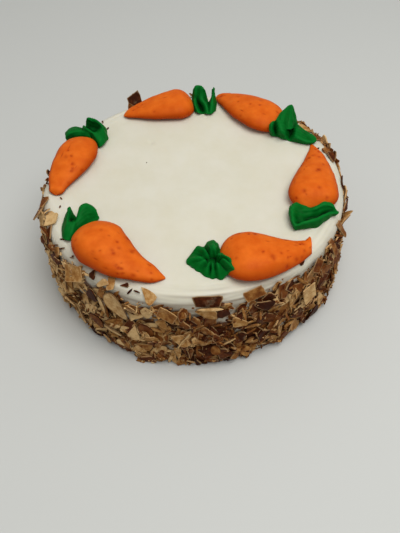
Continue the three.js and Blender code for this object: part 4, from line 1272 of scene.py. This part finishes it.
def moundSolid(mound):
    x, y, radius, height = mound
    sides, rings = 40, 20
    theta = np.linspace(0.02, math.pi - 0.02, rings)[:, None]
    phi = np.linspace(0, 2 * math.pi, sides, endpoint=False)[None, :]
    z = cakeShape["height"] + height * np.cos(theta) + 0 * phi
    points = np.stack(
        [x + radius * np.sin(theta) * np.cos(phi), y + radius * np.sin(theta) * np.sin(phi), z], -1,
    ).reshape(-1, 3)
    faces = [face[::-1] for face in gridFaces(rings, sides, True)]
    faces.append(list(range(sides)))
    faces.append([(rings - 1) * sides + j for j in range(sides - 1, -1, -1)])
    return points, faces


def foldMarks(mesh, places, normals):
    # how far each point lies under (1) or over (-1) the mean of the icing about it, which sets the
    # painted shade and highlight
    edges = np.empty(len(mesh.edges) * 2, int)
    mesh.edges.foreach_get("vertices", edges)
    a, b = edges[::2], edges[1::2]
    count = np.bincount(edges, minlength=len(places))
    mean = places.copy()
    for _ in range(topPiping["foldPasses"]):
        mean = np.stack([
            np.bincount(a, mean[b, axis], len(places))
            + np.bincount(b, mean[a, axis], len(places))
            for axis in range(3)
        ], -1) / count[:, None]
    depth = ((mean - places) * normals).sum(1) / (topPiping["foldDepth"] * millimetre)
    return np.clip(depth, -1, 1)


def readPoints(mesh, name):
    values = np.empty(len(mesh.vertices) * 3)
    mesh.vertices.foreach_get(name, values)
    return values.reshape(-1, 3)


def makeTops():
    material = greenMaterial()
    size, depth = topPiping["grain"]
    for index, (name, (mound, sheets)) in enumerate(carrotTops.items()):
        points, faces = [], []
        solids = [moundSolid(mound)] + [sheetSolid(rows) for rows in sheets]
        if not sheets:
            solids.append(ruffleSolid())
        count = 0
        for place, shell in solids:
            points.append(place)
            faces += [[count + i for i in face] for face in shell]
            count += len(place)
        rough = meshPiece("rough_" + name, np.vstack(points), faces, material)
        merge = rough.modifiers.new("merge", "REMESH")
        merge.mode = "VOXEL"
        merge.voxel_size = topPiping["voxel"] * millimetre
        merge.use_smooth_shade = True
        soften = rough.modifiers.new("soften", "SMOOTH")
        soften.factor = 0.5
        soften.iterations = 2
        merged = rough.evaluated_get(bpy.context.evaluated_depsgraph_get())
        dense = bpy.data.meshes.new_from_object(merged)
        bpy.data.objects.remove(rough)
        places, normals = readPoints(dense, "co"), readPoints(dense, "normal")
        # painted shade in the folds and painted highlight on the crests
        foldShading = dense.attributes.new("foldShading", "FLOAT", "POINT")
        foldShading.data.foreach_set("value", foldMarks(dense, places, normals).astype(np.float32))
        push = softNoise(places / millimetre, size, 400 + index) * depth + topPiping["swell"]
        places += normals * push[:, None] * millimetre
        dense.vertices.foreach_set("co", places.ravel())
        dense.update()
        piece = bpy.data.objects.new("piped_" + name, dense)
        bpy.context.collection.objects.link(piece)
        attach(piece, "root")
        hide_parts(name)
        print(name, len(dense.polygons), "faces")


# studio: pale table, soft daylight from above and a little from the right and the front,
# camera looking down on the cake

studio = {
    "table": "#c4c5c1",
    "tableReach": 3000,   # mm
    "sky": "#e2e2e0",
    "skyStrength": 0.82,
    "horizon": 0.35,      # brightness at the horizon over that overhead
    "keyPower": 8.4,
    "keyPlace": (0.26, -0.23, 1.05),   # m, as the sizes are too
    "keySize": 0.85,
    "fillPower": 0.5,
    "fillPlace": (0.35, -1.3, 1.1),
    "fillSize": 1.2,
    "aim": (0, 0, 0.05),
}
view = {
    "place": (0.0, -331.93, 366.98),   # mm from the middle of the cake's base
    "pitch": 49.923,                   # degrees down
    "yaw": 0.464,
    "roll": -2.513,
    "focalPixels": 620.0,
    "imageSize": (400, 533),
}


def makeStudio():
    world = bpy.data.worlds.new("daylight")
    world.use_nodes = True
    sky = world.node_tree.nodes["Background"]
    sky.inputs["Color"].default_value = linear(studio["sky"])
    way = addNode(world, "ShaderNodeTexCoord")
    height = addNode(world, "ShaderNodeSeparateXYZ", {"Vector": way.outputs["Generated"]})
    strength = addNode(
        world, "ShaderNodeMapRange", {"Value": height.outputs["Z"]}, From_Min=0.0, From_Max=1.0,
        To_Min=studio["skyStrength"] * studio["horizon"], To_Max=studio["skyStrength"],
    )
    world.node_tree.links.new(strength.outputs["Result"], sky.inputs["Strength"])
    bpy.context.scene.world = world
    table, shader = newMaterial("paintedTablePale", Roughness=0.7)
    shader.inputs["Base Color"].default_value = linear(studio["table"])
    reach = studio["tableReach"]
    corners = [[x * reach, y * reach, 0] for x, y in ((-1, -1), (1, -1), (1, 1), (-1, 1))]
    floor = meshPiece("table", corners, [[0, 1, 2, 3]], table, smooth=False)
    floor.location.z = -0.0002   # clear of the cake's flat underside
    for name in ("key", "fill"):
        light = bpy.data.lights.new(name, "AREA")
        light.shape = "DISK"
        light.size = studio[name + "Size"]
        light.energy = studio[name + "Power"]
        lamp = bpy.data.objects.new(name, light)
        lamp.location = studio[name + "Place"]
        aim = Vector(studio["aim"]) - lamp.location
        lamp.rotation_euler = aim.to_track_quat("-Z", "Y").to_euler()
        bpy.context.collection.objects.link(lamp)
    print("studio ready")


def makeCamera():
    scene = bpy.context.scene
    pitch, yaw, roll = (math.radians(view[name]) for name in ("pitch", "yaw", "roll"))
    level = math.cos(pitch)
    ahead = Vector((math.sin(yaw) * level, math.cos(yaw) * level, -math.sin(pitch)))
    right = Vector((math.cos(yaw), -math.sin(yaw), 0))
    up = right.cross(ahead)
    rolledRight = math.cos(roll) * right + math.sin(roll) * up
    rolledUp = math.cos(roll) * up - math.sin(roll) * right
    turn = Matrix((rolledRight, rolledUp, -ahead)).transposed().to_4x4()
    data = bpy.data.cameras.new("view")
    data.sensor_width = 36
    data.lens = data.sensor_width * view["focalPixels"] / max(view["imageSize"])
    camera = bpy.data.objects.new("view", data)
    camera.matrix_world = Matrix.Translation(Vector(view["place"]) * millimetre) @ turn
    bpy.context.collection.objects.link(camera)
    scene.camera = camera
    scene.view_settings.view_transform = "Standard"
    scene.view_settings.look = "None"


makeCamera()
makeStudio()
makeFrosting()
makeAlmonds()
makeCarrots()
makeTops()

bpy.context.view_layer.update()
